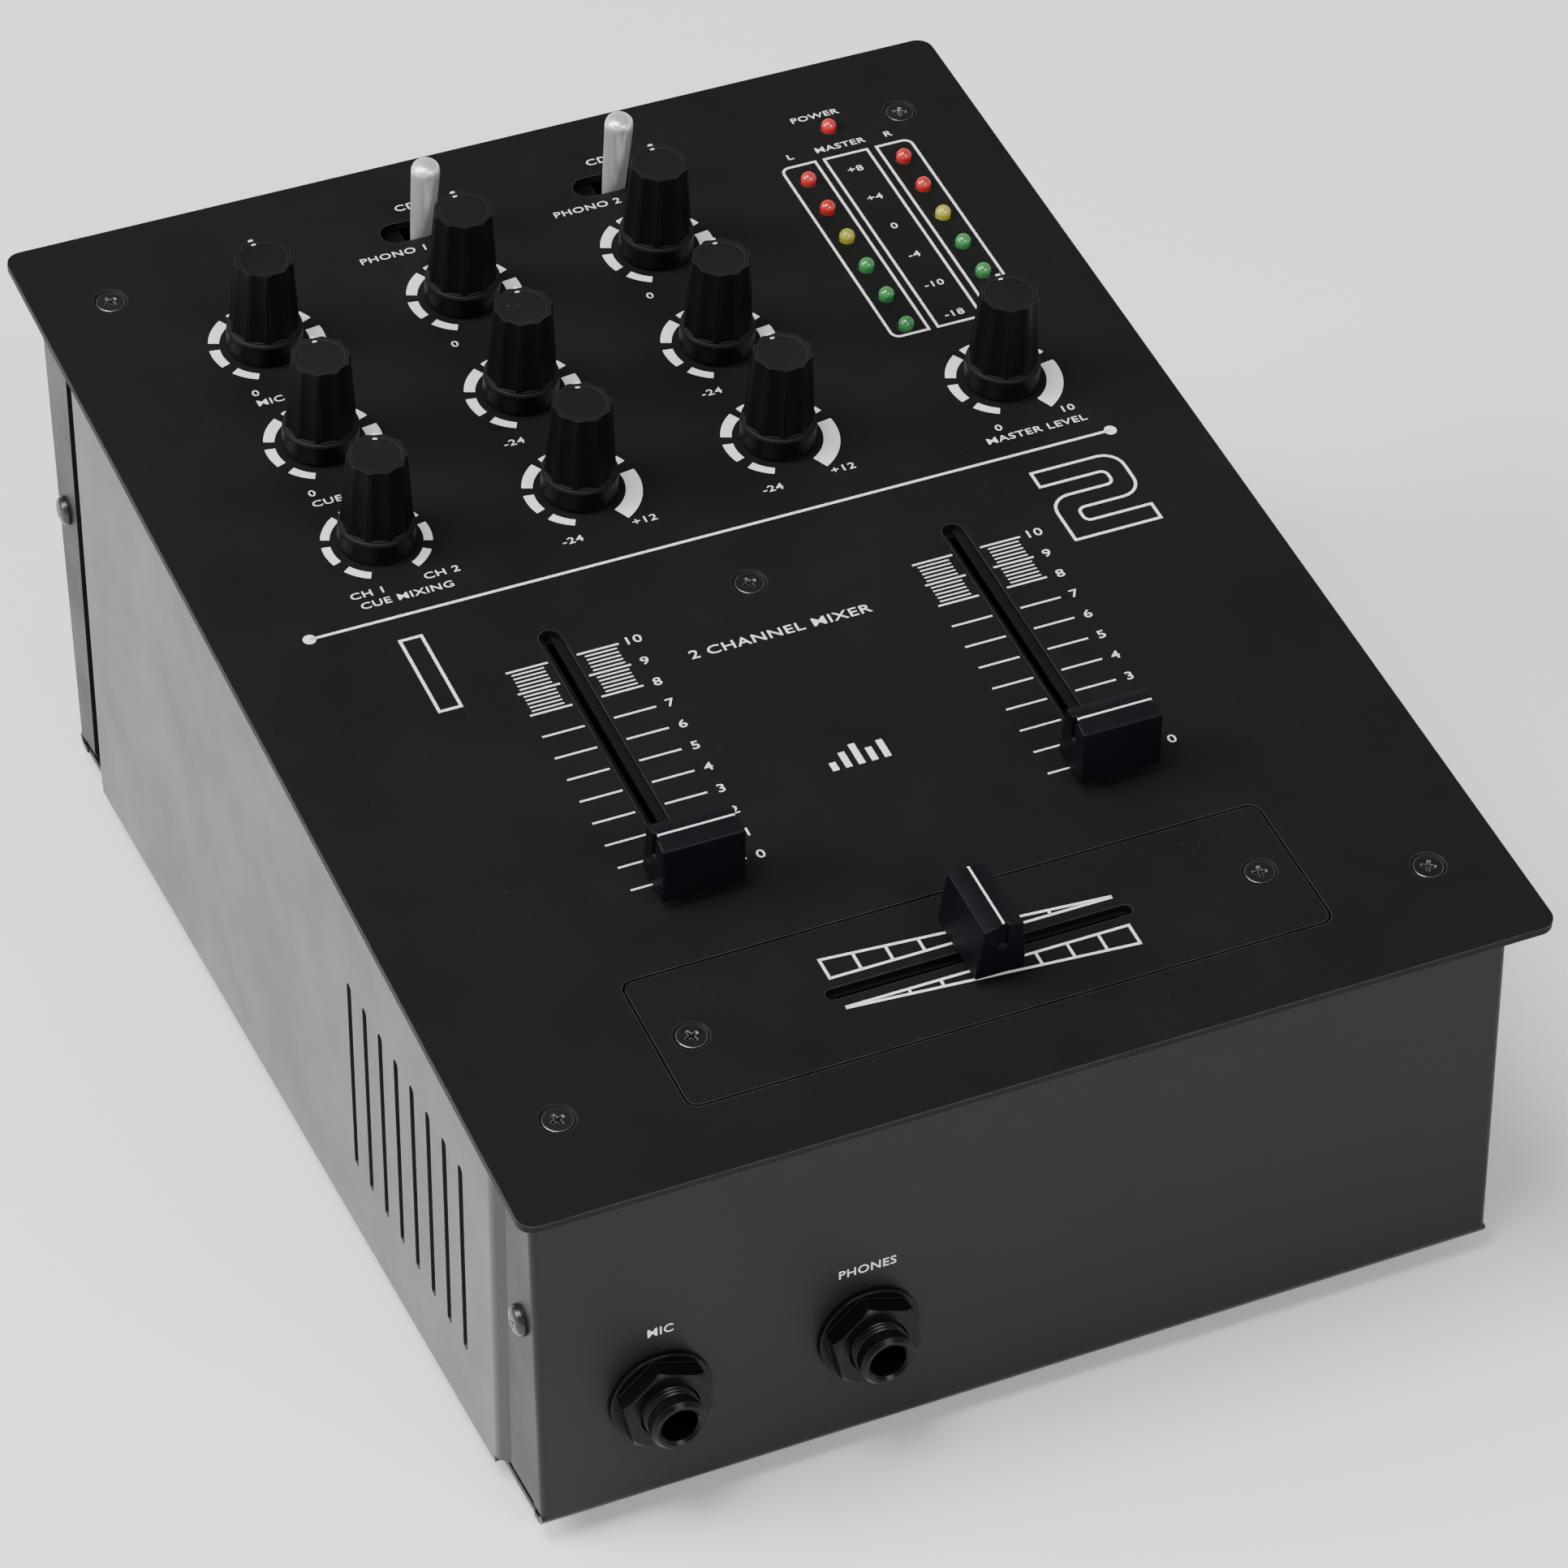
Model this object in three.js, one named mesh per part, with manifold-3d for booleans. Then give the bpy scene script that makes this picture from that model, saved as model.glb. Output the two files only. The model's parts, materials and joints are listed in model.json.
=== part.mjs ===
// A two-channel DJ mixer: a folded steel case with a sloping top plate that carries the
// controls. Everything is built in the case's own frame first: X to the right, Y to the rear
// from the top plate's front edge, Z up from the case's bottom. The whole group is moved at the
// end, so that its origin is the middle of the footprint, on the surface it stands on.
import * as THREE from "three";
import { mergeVertices } from "three/addons/utils/BufferGeometryUtils.js";
import Module from "manifold-3d";

const wasm = await Module();
wasm.setup();

// ---- Driving dimensions, in millimetres and radians ----
const GAP = 0.3; // between separate parts that lie against each other
const SHEET = 1.2; // folded steel of the case

const PLATE_WIDTH = 185;
const PLATE_LENGTH = 252.2; // along the slope
const PLATE_THICK = 1.5;
const PLATE_CORNER = 3;
const SLOPE = 0.1373; // the plate rises to the rear
const PLATE_FRONT_TOP = 74.2; // height of its top face at the front edge

const PAN_HALF = 88.1;
const PAN_FRONT = 8.5;
const PAN_REAR = 244.9;
const PAN_BEND = 2.7; // outer radius of the folds
const FLANGE = 11.5;
const PANEL_OUTER = 89.3;
const PANEL_TAB = 9.5; // the strip that goes under the pan's flange
const TAB_LOW = 1.6; // its lower edge, clear of the pan's bottom
const JOGGLE = 2.8;
const FRONT_SEAM = 0.8; // between a panel and the pan's flange
const REAR_SEAM = 3.8;
const LEAN = 0.048; // the side seams and slots lean forward, in mm per mm of height
const FLANGE_HEIGHT_REF = 50; // the height at which the side positions are stated

const VENTS = 8;
const VENT_PITCH = 7.3;
const VENT_FIRST = 37.6;
const VENT_WIDTH = 2;
const VENT_LOW = 15.8;
const VENT_HIGH = 57.6;

const FOOT_HEIGHT = 4;
const FOOT_RADIUS = 8;
const FOOT_X = 70;
const FOOT_FRONT_Y = 28;
const FOOT_REAR_Y = 225;

const SCREW_RADIUS = 1.5;
const SCREW_HOLE = 1.8;
const SCREW_HEAD = 2.6;
const COUNTERSINK = 3.2;
const PLATE_SCREW_U = 78.4;
const PLATE_SCREW_FRONT = 20;
const PLATE_SCREW_REAR = 233.5;
const CENTRE_SCREW = 124;

const KNOB_ROWS = [156.8, 184.2, 212.6];
// Each column of knobs, named from the front row to the rear.
const KNOB_COLUMNS = [
  [-56.5, ["cue_mixing", "cue_level", "mic_level"]],
  [-18.4, ["channel_1_bass", "channel_1_treble", "channel_1_gain"]],
  [19.7, ["channel_2_bass", "channel_2_treble", "channel_2_gain"]],
];
const MASTER = [63.9, 157.2];
// How far each pointer stands past the top of its scale, in degrees clockwise.
const KNOB_TURNS = {
  cue_mixing: 17,
  cue_level: 7,
  mic_level: -5,
  channel_1_bass: 12,
  channel_1_treble: 8,
  channel_1_gain: 0,
  channel_2_bass: -3,
  channel_2_treble: 8,
  channel_2_gain: 5,
  master_level: 3,
};
const KNOB_HOLE = 4;
const KNOB_SHAFT = 3;

const FADER_COLUMNS = { channel_1: -37.6, channel_2: 38.6 };
const FADER_START = 60.6; // the caps rest at the near end
const FADER_TRAVEL = 60;
const CROSS_V = 29;
const CROSS_TRAVEL = 45;
const FADER_CASE = 24; // how much longer a fader's case is than its travel
const CROSS_PLATE_HALF = 57.8;
const CROSS_PLATE_DEPTH = 29;
const CROSS_SCREW_U = 51.4;

const TOGGLE_COLUMNS = { channel_1: -18.4, channel_2: 19.7 };
const TOGGLE_V = 233.2;
const TOGGLE_PIVOT = -6; // below the plate's top face
const TOGGLE_LEAN = 0.098; // resting towards the front

const LED_LEFT = 53.8;
const LED_RIGHT = 73.3;
const LED_FIRST = 176.4;
const LED_PITCH = 8.8;
const LED_COUNT = 6;
const POWER_LED = [63.7, 233.4];
const LED_RADIUS = 1.5;

const JACK_X = { mic: -66.8, phones: -29.5 };
const JACK_Z = 22.6;
const JACK_BARREL = 4.9;
const JACK_BORE = 3.25;
const JACK_NOSE = 8.9; // in front of the panel

const SOCKET_RADIUS = 4.15;
const SOCKET_NOSE = 7.5; // behind the rear panel
const SOCKET_SPACING = 14;
const SOCKET_BLOCKS = { output: -44, channel_2: -8, channel_1: 28 };
const SOCKET_Z = 46;
const ROCKER = [68, 64];
const INLET = [68, 34];
const GROUND = [47, 74];

// ---- Helpers for solids ----
function solid(geometry) {
  const bare = geometry.index ? geometry.toNonIndexed() : geometry.clone();
  bare.deleteAttribute("normal");
  bare.deleteAttribute("uv");
  const merged = mergeVertices(bare, 1e-4);
  return new wasm.Manifold(new wasm.Mesh({
    numProp: 3,
    vertProperties: new Float32Array(merged.attributes.position.array),
    triVerts: new Uint32Array(merged.index.array),
  }));
}

function geometryOf(manifold) {
  const mesh = manifold.getMesh();
  const geometry = new THREE.BufferGeometry();
  geometry.setAttribute("position", new THREE.BufferAttribute(mesh.vertProperties, 3));
  geometry.setIndex(new THREE.BufferAttribute(mesh.triVerts, 1));
  return geometry;
}

// Joins every geometry of the first list and cuts every geometry of the second from it.
function join(added, cut = []) {
  let body = solid(added[0]);
  for (const piece of added.slice(1)) body = body.add(solid(piece));
  for (const piece of cut) body = body.subtract(solid(piece));
  return geometryOf(body);
}

// A box between two corners.
function block(low, high) {
  const size = high.map((value, i) => value - low[i]);
  const middle = high.map((value, i) => (value + low[i]) / 2);
  return new THREE.BoxGeometry(...size).translate(...middle);
}

// A turned piece about Z: the profile runs from the bottom up, as [radius, height] pairs.
function turned(profile, segments = 16) {
  const points = profile.map(([radius, height]) => new THREE.Vector2(radius, height));
  return new THREE.LatheGeometry(points, segments).rotateX(Math.PI / 2);
}

function rod(radius, low, high, segments = 16) {
  return turned([[0, low], [radius, low], [radius, high], [0, high]], segments);
}

// Turns a piece built along Z so that its top points to the front, the rear or a side.
const toFront = (geometry) => geometry.rotateX(Math.PI / 2);
const toRear = (geometry) => geometry.rotateX(-Math.PI / 2);
const toSide = (geometry, side) => geometry.rotateY(side * Math.PI / 2);

function roundedRect(halfWidth, halfHeight, radius, x = 0, y = 0, Kind = THREE.Shape) {
  const path = new Kind();
  path.moveTo(x + halfWidth, y - halfHeight + radius);
  path.absarc(x + halfWidth - radius, y + halfHeight - radius, radius, 0, Math.PI / 2);
  path.absarc(x - halfWidth + radius, y + halfHeight - radius, radius, Math.PI / 2, Math.PI);
  path.absarc(x - halfWidth + radius, y - halfHeight + radius, radius, Math.PI, 1.5 * Math.PI);
  path.absarc(x + halfWidth - radius, y - halfHeight + radius, radius, 1.5 * Math.PI, 2 * Math.PI);
  return path;
}

function circle(x, y, radius) {
  const path = new THREE.Path();
  path.absarc(x, y, radius, 0, 2 * Math.PI);
  return path;
}

// An outline drawn in Y and Z, given thickness along X between two places.
const Y_Z_ALONG_X = new THREE.Matrix4().makeBasis(
  new THREE.Vector3(0, 1, 0),
  new THREE.Vector3(0, 0, 1),
  new THREE.Vector3(1, 0, 0),
);
function sideways(shape, lowX, highX, curveSegments = 3) {
  const options = { depth: highX - lowX, bevelEnabled: false, curveSegments };
  return new THREE.ExtrudeGeometry(shape, options).applyMatrix4(Y_Z_ALONG_X).translate(lowX, 0, 0);
}

function outline(points) {
  return new THREE.Shape(points.map(([a, b]) => new THREE.Vector2(a, b)));
}

// From the top plate's frame (across, up the slope, out of the plate) to the case's frame.
const deckMatrix = new THREE.Matrix4()
  .makeRotationX(SLOPE)
  .setPosition(0, 0, PLATE_FRONT_TOP);
const onDeck = (geometry) => geometry.applyMatrix4(deckMatrix);

function deckPoint(u, v, w) {
  return new THREE.Vector3(u, v, w).applyMatrix4(deckMatrix);
}

// The height of the plate's underside, less the usual gap, above a place in Y.
function underPlate(y) {
  return PLATE_FRONT_TOP + y * Math.tan(SLOPE) - (PLATE_THICK + GAP) / Math.cos(SLOPE);
}

// ---- The scene graph ----
const mixer = new THREE.Group();
const deck = new THREE.Group();
deck.rotation.x = SLOPE;
deck.position.z = PLATE_FRONT_TOP;
mixer.add(deck);

function add(group, name, geometry, material) {
  const mesh = new THREE.Mesh(geometry, material);
  mesh.name = name;
  group.add(mesh);
  return mesh;
}

function finish(color, roughness, metalness) {
  return new THREE.MeshStandardMaterial({ color, roughness, metalness });
}
const matteBlackPaint = () => finish(0x1b1c1b, 0.55, 0.2);
const casePaint = () => finish(0x2a2b2c, 0.5, 0.3);
const panelPaint = () => finish(0x303133, 0.45, 0.3);
const blackScrew = () => finish(0x141414, 0.35, 0.7);
const knobPlastic = () => finish(0x161617, 0.5, 0);
const capPlastic = () => finish(0x0d0d12, 0.45, 0);
const brightSteel = () => finish(0xc9cacc, 0.28, 1);
const pressedSteel = () => finish(0x8f9296, 0.4, 1);
const blackNylon = () => finish(0x111112, 0.4, 0);
const footRubber = () => finish(0x18181a, 0.85, 0);
const boardGreen = () => finish(0x1f4a2c, 0.5, 0);
const nickel = () => finish(0xb8b4a8, 0.3, 1);

// ---- Top plate: flat steel with every control's opening cut through it ----
function ledPlaces() {
  const places = [POWER_LED];
  for (let i = 0; i < LED_COUNT; i += 1) {
    const v = LED_FIRST + i * LED_PITCH;
    places.push([LED_LEFT, v], [LED_RIGHT, v]);
  }
  return places;
}

function knobPlaces() {
  const places = { master_level: MASTER };
  for (const [u, names] of KNOB_COLUMNS) {
    names.forEach((name, row) => { places[name] = [u, KNOB_ROWS[row]]; });
  }
  return places;
}

const PLATE_SCREWS = {
  front_left: [-PLATE_SCREW_U, PLATE_SCREW_FRONT],
  front_right: [PLATE_SCREW_U, PLATE_SCREW_FRONT],
  rear_left: [-PLATE_SCREW_U, PLATE_SCREW_REAR],
  rear_right: [PLATE_SCREW_U, PLATE_SCREW_REAR],
  centre: [0, CENTRE_SCREW],
};

function countersink(u, v) {
  const deep = COUNTERSINK - SCREW_HOLE;
  return turned([[0, -deep], [SCREW_HOLE, -deep], [COUNTERSINK + 0.3, 0.3], [0, 0.3]], 12)
    .translate(u, v, 0);
}

function topPlate() {
  const shape = roundedRect(PLATE_WIDTH / 2, PLATE_LENGTH / 2, PLATE_CORNER, 0, PLATE_LENGTH / 2);
  const slotMiddle = FADER_START + FADER_TRAVEL / 2;
  for (const [u, v] of Object.values(knobPlaces())) shape.holes.push(circle(u, v, KNOB_HOLE));
  for (const [u, v] of ledPlaces()) shape.holes.push(circle(u, v, LED_RADIUS + 0.2));
  for (const [u, v] of Object.values(PLATE_SCREWS)) shape.holes.push(circle(u, v, SCREW_HOLE));
  for (const u of Object.values(FADER_COLUMNS)) {
    shape.holes.push(roundedRect(2, 34.6, 1.9, u, slotMiddle, THREE.Path));
  }
  for (const u of Object.values(TOGGLE_COLUMNS)) {
    shape.holes.push(roundedRect(7.8, 2.75, 2.7, u, TOGGLE_V, THREE.Path));
  }
  const window = [CROSS_PLATE_HALF + GAP, CROSS_PLATE_DEPTH / 2 + GAP];
  shape.holes.push(roundedRect(...window, 2, 0, CROSS_V, THREE.Path));
  const options = { depth: PLATE_THICK, bevelEnabled: false, curveSegments: 4 };
  const sheet = new THREE.ExtrudeGeometry(shape, options).translate(0, 0, -PLATE_THICK);
  const sinks = Object.values(PLATE_SCREWS).map(([u, v]) => countersink(u, v));
  return join([sheet], sinks);
}
add(deck, "top_plate", topPlate(), matteBlackPaint());

// ---- Crossfader plate: a small flush plate that comes out with its fader ----
function crossfaderPlate() {
  const shape = roundedRect(CROSS_PLATE_HALF, CROSS_PLATE_DEPTH / 2, 2, 0, CROSS_V);
  shape.holes.push(roundedRect(27.7, 1.2, 0.4, 0, CROSS_V, THREE.Path));
  for (const side of [-1, 1]) shape.holes.push(circle(side * CROSS_SCREW_U, CROSS_V, SCREW_HOLE));
  const options = { depth: PLATE_THICK, bevelEnabled: false, curveSegments: 4 };
  const sheet = new THREE.ExtrudeGeometry(shape, options).translate(0, 0, -PLATE_THICK);
  return join([sheet], [-1, 1].map((side) => countersink(side * CROSS_SCREW_U, CROSS_V)));
}
add(deck, "crossfader_plate", crossfaderPlate(), matteBlackPaint());

// A steel frame under the top plate's window, which the crossfader plate is screwed to.
function crossfaderBracket() {
  const top = -PLATE_THICK - GAP;
  const low = top - SHEET;
  const frame = block([-64, 10.5, low], [64, 47.5, top]);
  const window = block([-47, 22.5, low - 1], [47, 35.5, top + 1]);
  const holes = [-1, 1].map((side) => rod(SCREW_HOLE, low - 1, top + 1, 12)
    .translate(side * CROSS_SCREW_U, CROSS_V, 0));
  return join([frame], [window, ...holes]);
}
add(deck, "crossfader_bracket", crossfaderBracket(), pressedSteel());

// ---- Chassis pan: front, bottom and rear folded from one sheet ----
function panProfile() {
  const inner = PAN_BEND - SHEET;
  const front = underPlate(PAN_FRONT);
  const rear = underPlate(PAN_REAR - SHEET);
  const shape = new THREE.Shape();
  shape.moveTo(PAN_FRONT, front);
  shape.absarc(PAN_FRONT + PAN_BEND, PAN_BEND, PAN_BEND, Math.PI, 1.5 * Math.PI);
  shape.absarc(PAN_REAR - PAN_BEND, PAN_BEND, PAN_BEND, 1.5 * Math.PI, 2 * Math.PI);
  shape.lineTo(PAN_REAR, rear);
  shape.lineTo(PAN_REAR - SHEET, rear);
  shape.absarc(PAN_REAR - PAN_BEND, PAN_BEND, inner, 2 * Math.PI, 1.5 * Math.PI, true);
  shape.absarc(PAN_FRONT + PAN_BEND, PAN_BEND, inner, 1.5 * Math.PI, Math.PI, true);
  shape.lineTo(PAN_FRONT + SHEET, front);
  return shape;
}

// A seam that stands at y at the reference height leans forward as it rises.
const leaning = (y, z) => y - LEAN * (z - FLANGE_HEIGHT_REF);

function panFlange(side, atFront) {
  const wall = atFront ? PAN_FRONT : PAN_REAR;
  const edge = atFront ? PAN_FRONT + FLANGE : PAN_REAR - FLANGE;
  const low = 3.2;
  const topWall = underPlate(atFront ? wall : wall - FLANGE - 2) - 0.2;
  const shape = outline([
    [wall, low],
    [leaning(edge, low), low],
    [leaning(edge, topWall), topWall],
    [wall, topWall],
  ]);
  const inside = PAN_HALF - SHEET;
  return side > 0 ? sideways(shape, inside, PAN_HALF) : sideways(shape, -PAN_HALF, -inside);
}

// Lips at the four corners, folded in under the top plate, take the plate's screws.
function panLip(side, atFront) {
  const [near, far] = atFront ? [PAN_FRONT + 0.5, 28] : [224, PAN_REAR / Math.cos(SLOPE) - 0.7];
  const top = -PLATE_THICK - GAP - 0.05;
  const [low, high] = side > 0 ? [68, 84.8] : [-84.8, -68];
  return onDeck(block([low, near, top - SHEET], [high, far, top]));
}

function rearHoles() {
  const cuts = [];
  const through = (radius, x, z, segments = 12) => toRear(rod(radius, -4, 4, segments))
    .translate(x, PAN_REAR, z);
  for (const x of Object.values(SOCKET_BLOCKS)) {
    for (const [i, j] of [[-1, -1], [-1, 1], [1, -1], [1, 1]]) {
      const half = SOCKET_SPACING / 2;
      cuts.push(through(SOCKET_RADIUS + GAP, x + i * half, SOCKET_Z + j * half, 14));
    }
  }
  cuts.push(through(4.3, INLET[0], INLET[1]));
  cuts.push(through(2.4, GROUND[0], GROUND[1]));
  const [x, z] = ROCKER;
  cuts.push(block([x - 6.9, PAN_REAR - 4, z - 9.9], [x + 6.9, PAN_REAR + 1, z + 9.9]));
  return cuts;
}

const SIDE_SCREWS = { front: [14.5, 42], rear: [239, 58] };

function chassisPan() {
  const walls = sideways(panProfile(), -PAN_HALF, PAN_HALF);
  const parts = [walls];
  const cuts = rearHoles();
  for (const side of [-1, 1]) {
    for (const atFront of [true, false]) {
      parts.push(panFlange(side, atFront), panLip(side, atFront));
      const v = atFront ? PLATE_SCREW_FRONT : PLATE_SCREW_REAR;
      cuts.push(onDeck(rod(SCREW_HOLE, -5, 1, 12).translate(side * PLATE_SCREW_U, v, 0)));
    }
    for (const [y, z] of Object.values(SIDE_SCREWS)) {
      cuts.push(toSide(rod(SCREW_HOLE, 80, 90, 12), side).translate(0, y, z));
    }
    // The bottom is narrower than the walls, because the side panels stand beside it.
    const [low, high] = side > 0 ? [87.8, 90] : [-90, -87.8];
    cuts.push(block([low, PAN_FRONT + 4, -1], [high, PAN_REAR - 4, 3.2]));
  }
  for (const x of Object.values(JACK_X)) {
    cuts.push(toFront(rod(JACK_BARREL + GAP, -4, 4)).translate(x, PAN_FRONT, JACK_Z));
  }
  return join(parts, cuts);
}
add(mixer, "chassis_pan", chassisPan(), casePaint());

// ---- Side panels: flat sheets with vent slots, stepped in at both ends under the flanges ----
function sidePanel(side) {
  const inner = PANEL_OUTER - SHEET;
  const tab = PAN_HALF - SHEET - GAP;
  const front = PAN_FRONT + FLANGE + FRONT_SEAM;
  const rear = PAN_REAR - FLANGE - REAR_SEAM;
  const rearEnd = PAN_REAR - FLANGE - FRONT_SEAM + PANEL_TAB;
  const plan = outline([
    [tab, front - PANEL_TAB],
    [tab, front],
    [PANEL_OUTER, front + JOGGLE],
    [PANEL_OUTER, rear - JOGGLE],
    [tab, rear],
    [tab, rearEnd],
    [tab - SHEET, rearEnd],
    [tab - SHEET, rear - 0.5],
    [inner, rear - JOGGLE - 0.5],
    [inner, front + JOGGLE + 0.5],
    [tab - SHEET, front + 0.5],
    [tab - SHEET, front - PANEL_TAB],
  ]);
  const options = { depth: 120, bevelEnabled: false };
  const lean = new THREE.Matrix4().makeShear(0, 0, 0, 0, 0, -LEAN);
  const sheet = new THREE.ExtrudeGeometry(plan, options)
    .translate(0, 0, -FLANGE_HEIGHT_REF)
    .applyMatrix4(lean)
    .translate(0, 0, FLANGE_HEIGHT_REF);
  const low = PAN_FRONT + SHEET + 0.4;
  const high = PAN_REAR - SHEET - 0.4;
  const stepFront = leaning(front + JOGGLE + 1, 0);
  const stepRear = leaning(rear - JOGGLE - 1, 0);
  const edge = outline([
    [low, TAB_LOW + 1.6],
    [low + 2, TAB_LOW],
    [stepFront, TAB_LOW],
    [stepFront, 0],
    [stepRear, 0],
    [stepRear, TAB_LOW],
    [high - 2, TAB_LOW],
    [high, TAB_LOW + 1.6],
    [high, underPlate(high) - 3],
    [low, underPlate(low) - 3],
  ]);
  let body = solid(sheet).intersect(solid(sideways(edge, 80, 95)));
  const half = (VENT_HIGH - VENT_LOW) / 2;
  for (let i = 0; i < VENTS; i += 1) {
    const slot = block([80, -VENT_WIDTH / 2, -half], [95, VENT_WIDTH / 2, half])
      .rotateX(Math.atan(LEAN))
      .translate(0, VENT_FIRST + i * VENT_PITCH, VENT_LOW + half);
    body = body.subtract(solid(slot));
  }
  for (const [y, z] of Object.values(SIDE_SCREWS)) {
    body = body.subtract(solid(toSide(rod(SCREW_HOLE, 80, 90, 12), 1).translate(0, y, z)));
  }
  const geometry = geometryOf(body);
  return side > 0 ? geometry : mirrored(geometry);
}

// A copy mirrored across X = 0, with its faces turned to point out again.
function mirrored(geometry) {
  const copy = geometry.clone();
  copy.scale(-1, 1, 1);
  const index = copy.index.array;
  for (let i = 0; i < index.length; i += 3) {
    [index[i + 1], index[i + 2]] = [index[i + 2], index[i + 1]];
  }
  return copy;
}
add(mixer, "left_side_panel", sidePanel(-1), panelPaint());
add(mixer, "right_side_panel", sidePanel(1), panelPaint());

// ---- Feet: rubber pads under the pan's four corners ----
function foot() {
  return turned([
    [0, -FOOT_HEIGHT],
    [FOOT_RADIUS - 1.2, -FOOT_HEIGHT],
    [FOOT_RADIUS, -FOOT_HEIGHT + 1.2],
    [FOOT_RADIUS, -0.05],
    [0, -0.05],
  ]);
}
for (const [name, x, y] of [
  ["front_left", -FOOT_X, FOOT_FRONT_Y],
  ["front_right", FOOT_X, FOOT_FRONT_Y],
  ["rear_left", -FOOT_X, FOOT_REAR_Y],
  ["rear_right", FOOT_X, FOOT_REAR_Y],
]) {
  add(mixer, `${name}_foot`, foot(), footRubber()).position.set(x, y, 0);
}

// ---- Screws ----
function crossRecess(radius, top, deep) {
  const arm = radius * 0.55;
  const wide = radius * 0.14;
  return [
    block([-arm, -wide, top - deep], [arm, wide, top + 1]),
    block([-wide, -arm, top - deep], [wide, arm, top + 1]),
  ];
}

// A countersunk screw, its head just below the plate's top face.
function countersunkScrew(length) {
  const top = -0.25;
  const cone = SCREW_HEAD - SCREW_RADIUS;
  const body = turned([
    [0, -length],
    [SCREW_RADIUS, -length],
    [SCREW_RADIUS, top - 0.15 - cone],
    [SCREW_HEAD, top - 0.15],
    [SCREW_HEAD, top],
    [0, top],
  ], 12);
  return join([body], crossRecess(SCREW_HEAD, top, 0.8));
}
for (const [name, [u, v]] of Object.entries(PLATE_SCREWS)) {
  add(deck, `${name}_plate_screw`, countersunkScrew(8), blackScrew()).position.set(u, v, 0);
}
for (const [name, side] of [["left", -1], ["right", 1]]) {
  const screw = add(deck, `crossfader_${name}_screw`, countersunkScrew(7), blackScrew());
  screw.position.set(side * CROSS_SCREW_U, CROSS_V, 0);
}

// A pan-head screw that pins a flange to the side panel's tab behind it.
function panHeadScrew() {
  const seat = PAN_HALF + 0.05;
  const body = turned([
    [0, seat - 8],
    [SCREW_RADIUS, seat - 8],
    [SCREW_RADIUS, seat],
    [2.8, seat],
    [2.8, seat + 0.5],
    [2.2, seat + 1.3],
    [1.2, seat + 1.6],
    [0, seat + 1.6],
  ], 12);
  return join([body], crossRecess(2.6, seat + 1.6, 1));
}
for (const [name, side] of [["left", -1], ["right", 1]]) {
  for (const [end, [y, z]] of Object.entries(SIDE_SCREWS)) {
    const screw = toSide(panHeadScrew(), side).translate(0, y, z);
    add(mixer, `${name}_${end}_side_screw`, screw, blackScrew());
  }
}

// A hexagonal pillar from the pan's bottom takes the plate's middle screw.
function centrePillar() {
  const top = deckPoint(0, CENTRE_SCREW, -PLATE_THICK);
  const clear = 0.9; // the plate slopes over the pillar's flat top
  const post = rod(3.2, SHEET + 0.05, top.z - clear, 6).translate(0, top.y, 0);
  const screwHole = onDeck(rod(SCREW_HOLE, -12, 2, 12).translate(0, CENTRE_SCREW, 0));
  return join([post], [screwHole]);
}
add(mixer, "centre_pillar", centrePillar(), pressedSteel());

// ---- Rotary controls: a skirted knob on its shaft, standing in a potentiometer ----
const KNOB_BASE = 0.8;
const KNOB_TOP = 20.2;
const SHAFT_END = -12;

function knobOnShaft() {
  const body = turned([
    [0, SHAFT_END],
    [KNOB_SHAFT, SHAFT_END],
    [KNOB_SHAFT, KNOB_BASE],
    [6.85, KNOB_BASE],
    [6.85, 4.9],
    [6.4, 5.5],
    [5.3, KNOB_TOP - 0.5],
    [4.9, KNOB_TOP],
    [0, KNOB_TOP],
  ], 16);
  const pointer = block([-0.55, 4.4, 6.6], [0.55, 5.65, KNOB_TOP - 0.2]);
  return join([body, pointer]);
}
for (const [name, [u, v]] of Object.entries(knobPlaces())) {
  const knob = add(deck, `${name}_knob`, knobOnShaft(), knobPlastic());
  knob.position.set(u, v, 0);
  knob.rotation.z = -THREE.MathUtils.degToRad(KNOB_TURNS[name]);
}

// ---- Control board: the circuit board under the knobs, with its potentiometers ----
const BOARD = 1.6;
const BOARD_TOP = -15.4;
const POT_HALF = 5.2;
const POT_TOP = -8;

function controlBoard() {
  const board = block([-84, 143, BOARD_TOP - BOARD], [80, 224, BOARD_TOP]);
  const parts = [board];
  const bores = [];
  for (const [u, v] of Object.values(knobPlaces())) {
    const low = [u - POT_HALF, v - POT_HALF, BOARD_TOP - 0.2];
    parts.push(block(low, [u + POT_HALF, v + POT_HALF, POT_TOP]));
    bores.push(rod(KNOB_SHAFT + GAP, SHAFT_END - 0.4, 0, 12).translate(u, v, 0));
  }
  return join(parts, bores);
}
add(deck, "control_board", controlBoard(), boardGreen());

// ---- Level meter: the indicator lamps stand on their own small board ----
function ledBoard() {
  const top = -6.2;
  const parts = [block([48.5, 172, top - BOARD], [78.5, 239, top])];
  for (const [u, v] of ledPlaces()) {
    const lamp = turned([
      [0, top - 0.2],
      [LED_RADIUS, top - 0.2],
      [LED_RADIUS, 0.6],
      [LED_RADIUS * 0.7, 1.6],
      [0, 2],
    ], 8);
    parts.push(lamp.translate(u, v, 0));
  }
  return join(parts, [rod(4.2, -12, 0, 12).translate(PLATE_SCREW_U, PLATE_SCREW_REAR, 0)]);
}
add(deck, "meter_board", ledBoard(), boardGreen());

// ---- Faders: a steel case with a slot, a sliding carriage with its lever, and a cap ----
const CASE_HALF = 5;
const CASE_TOP = -PLATE_THICK - GAP;
const CASE_LOW = CASE_TOP - 9.5;
const WALL = 0.9;
const CARRIAGE_HALF = 4.5; // along the travel

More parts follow.
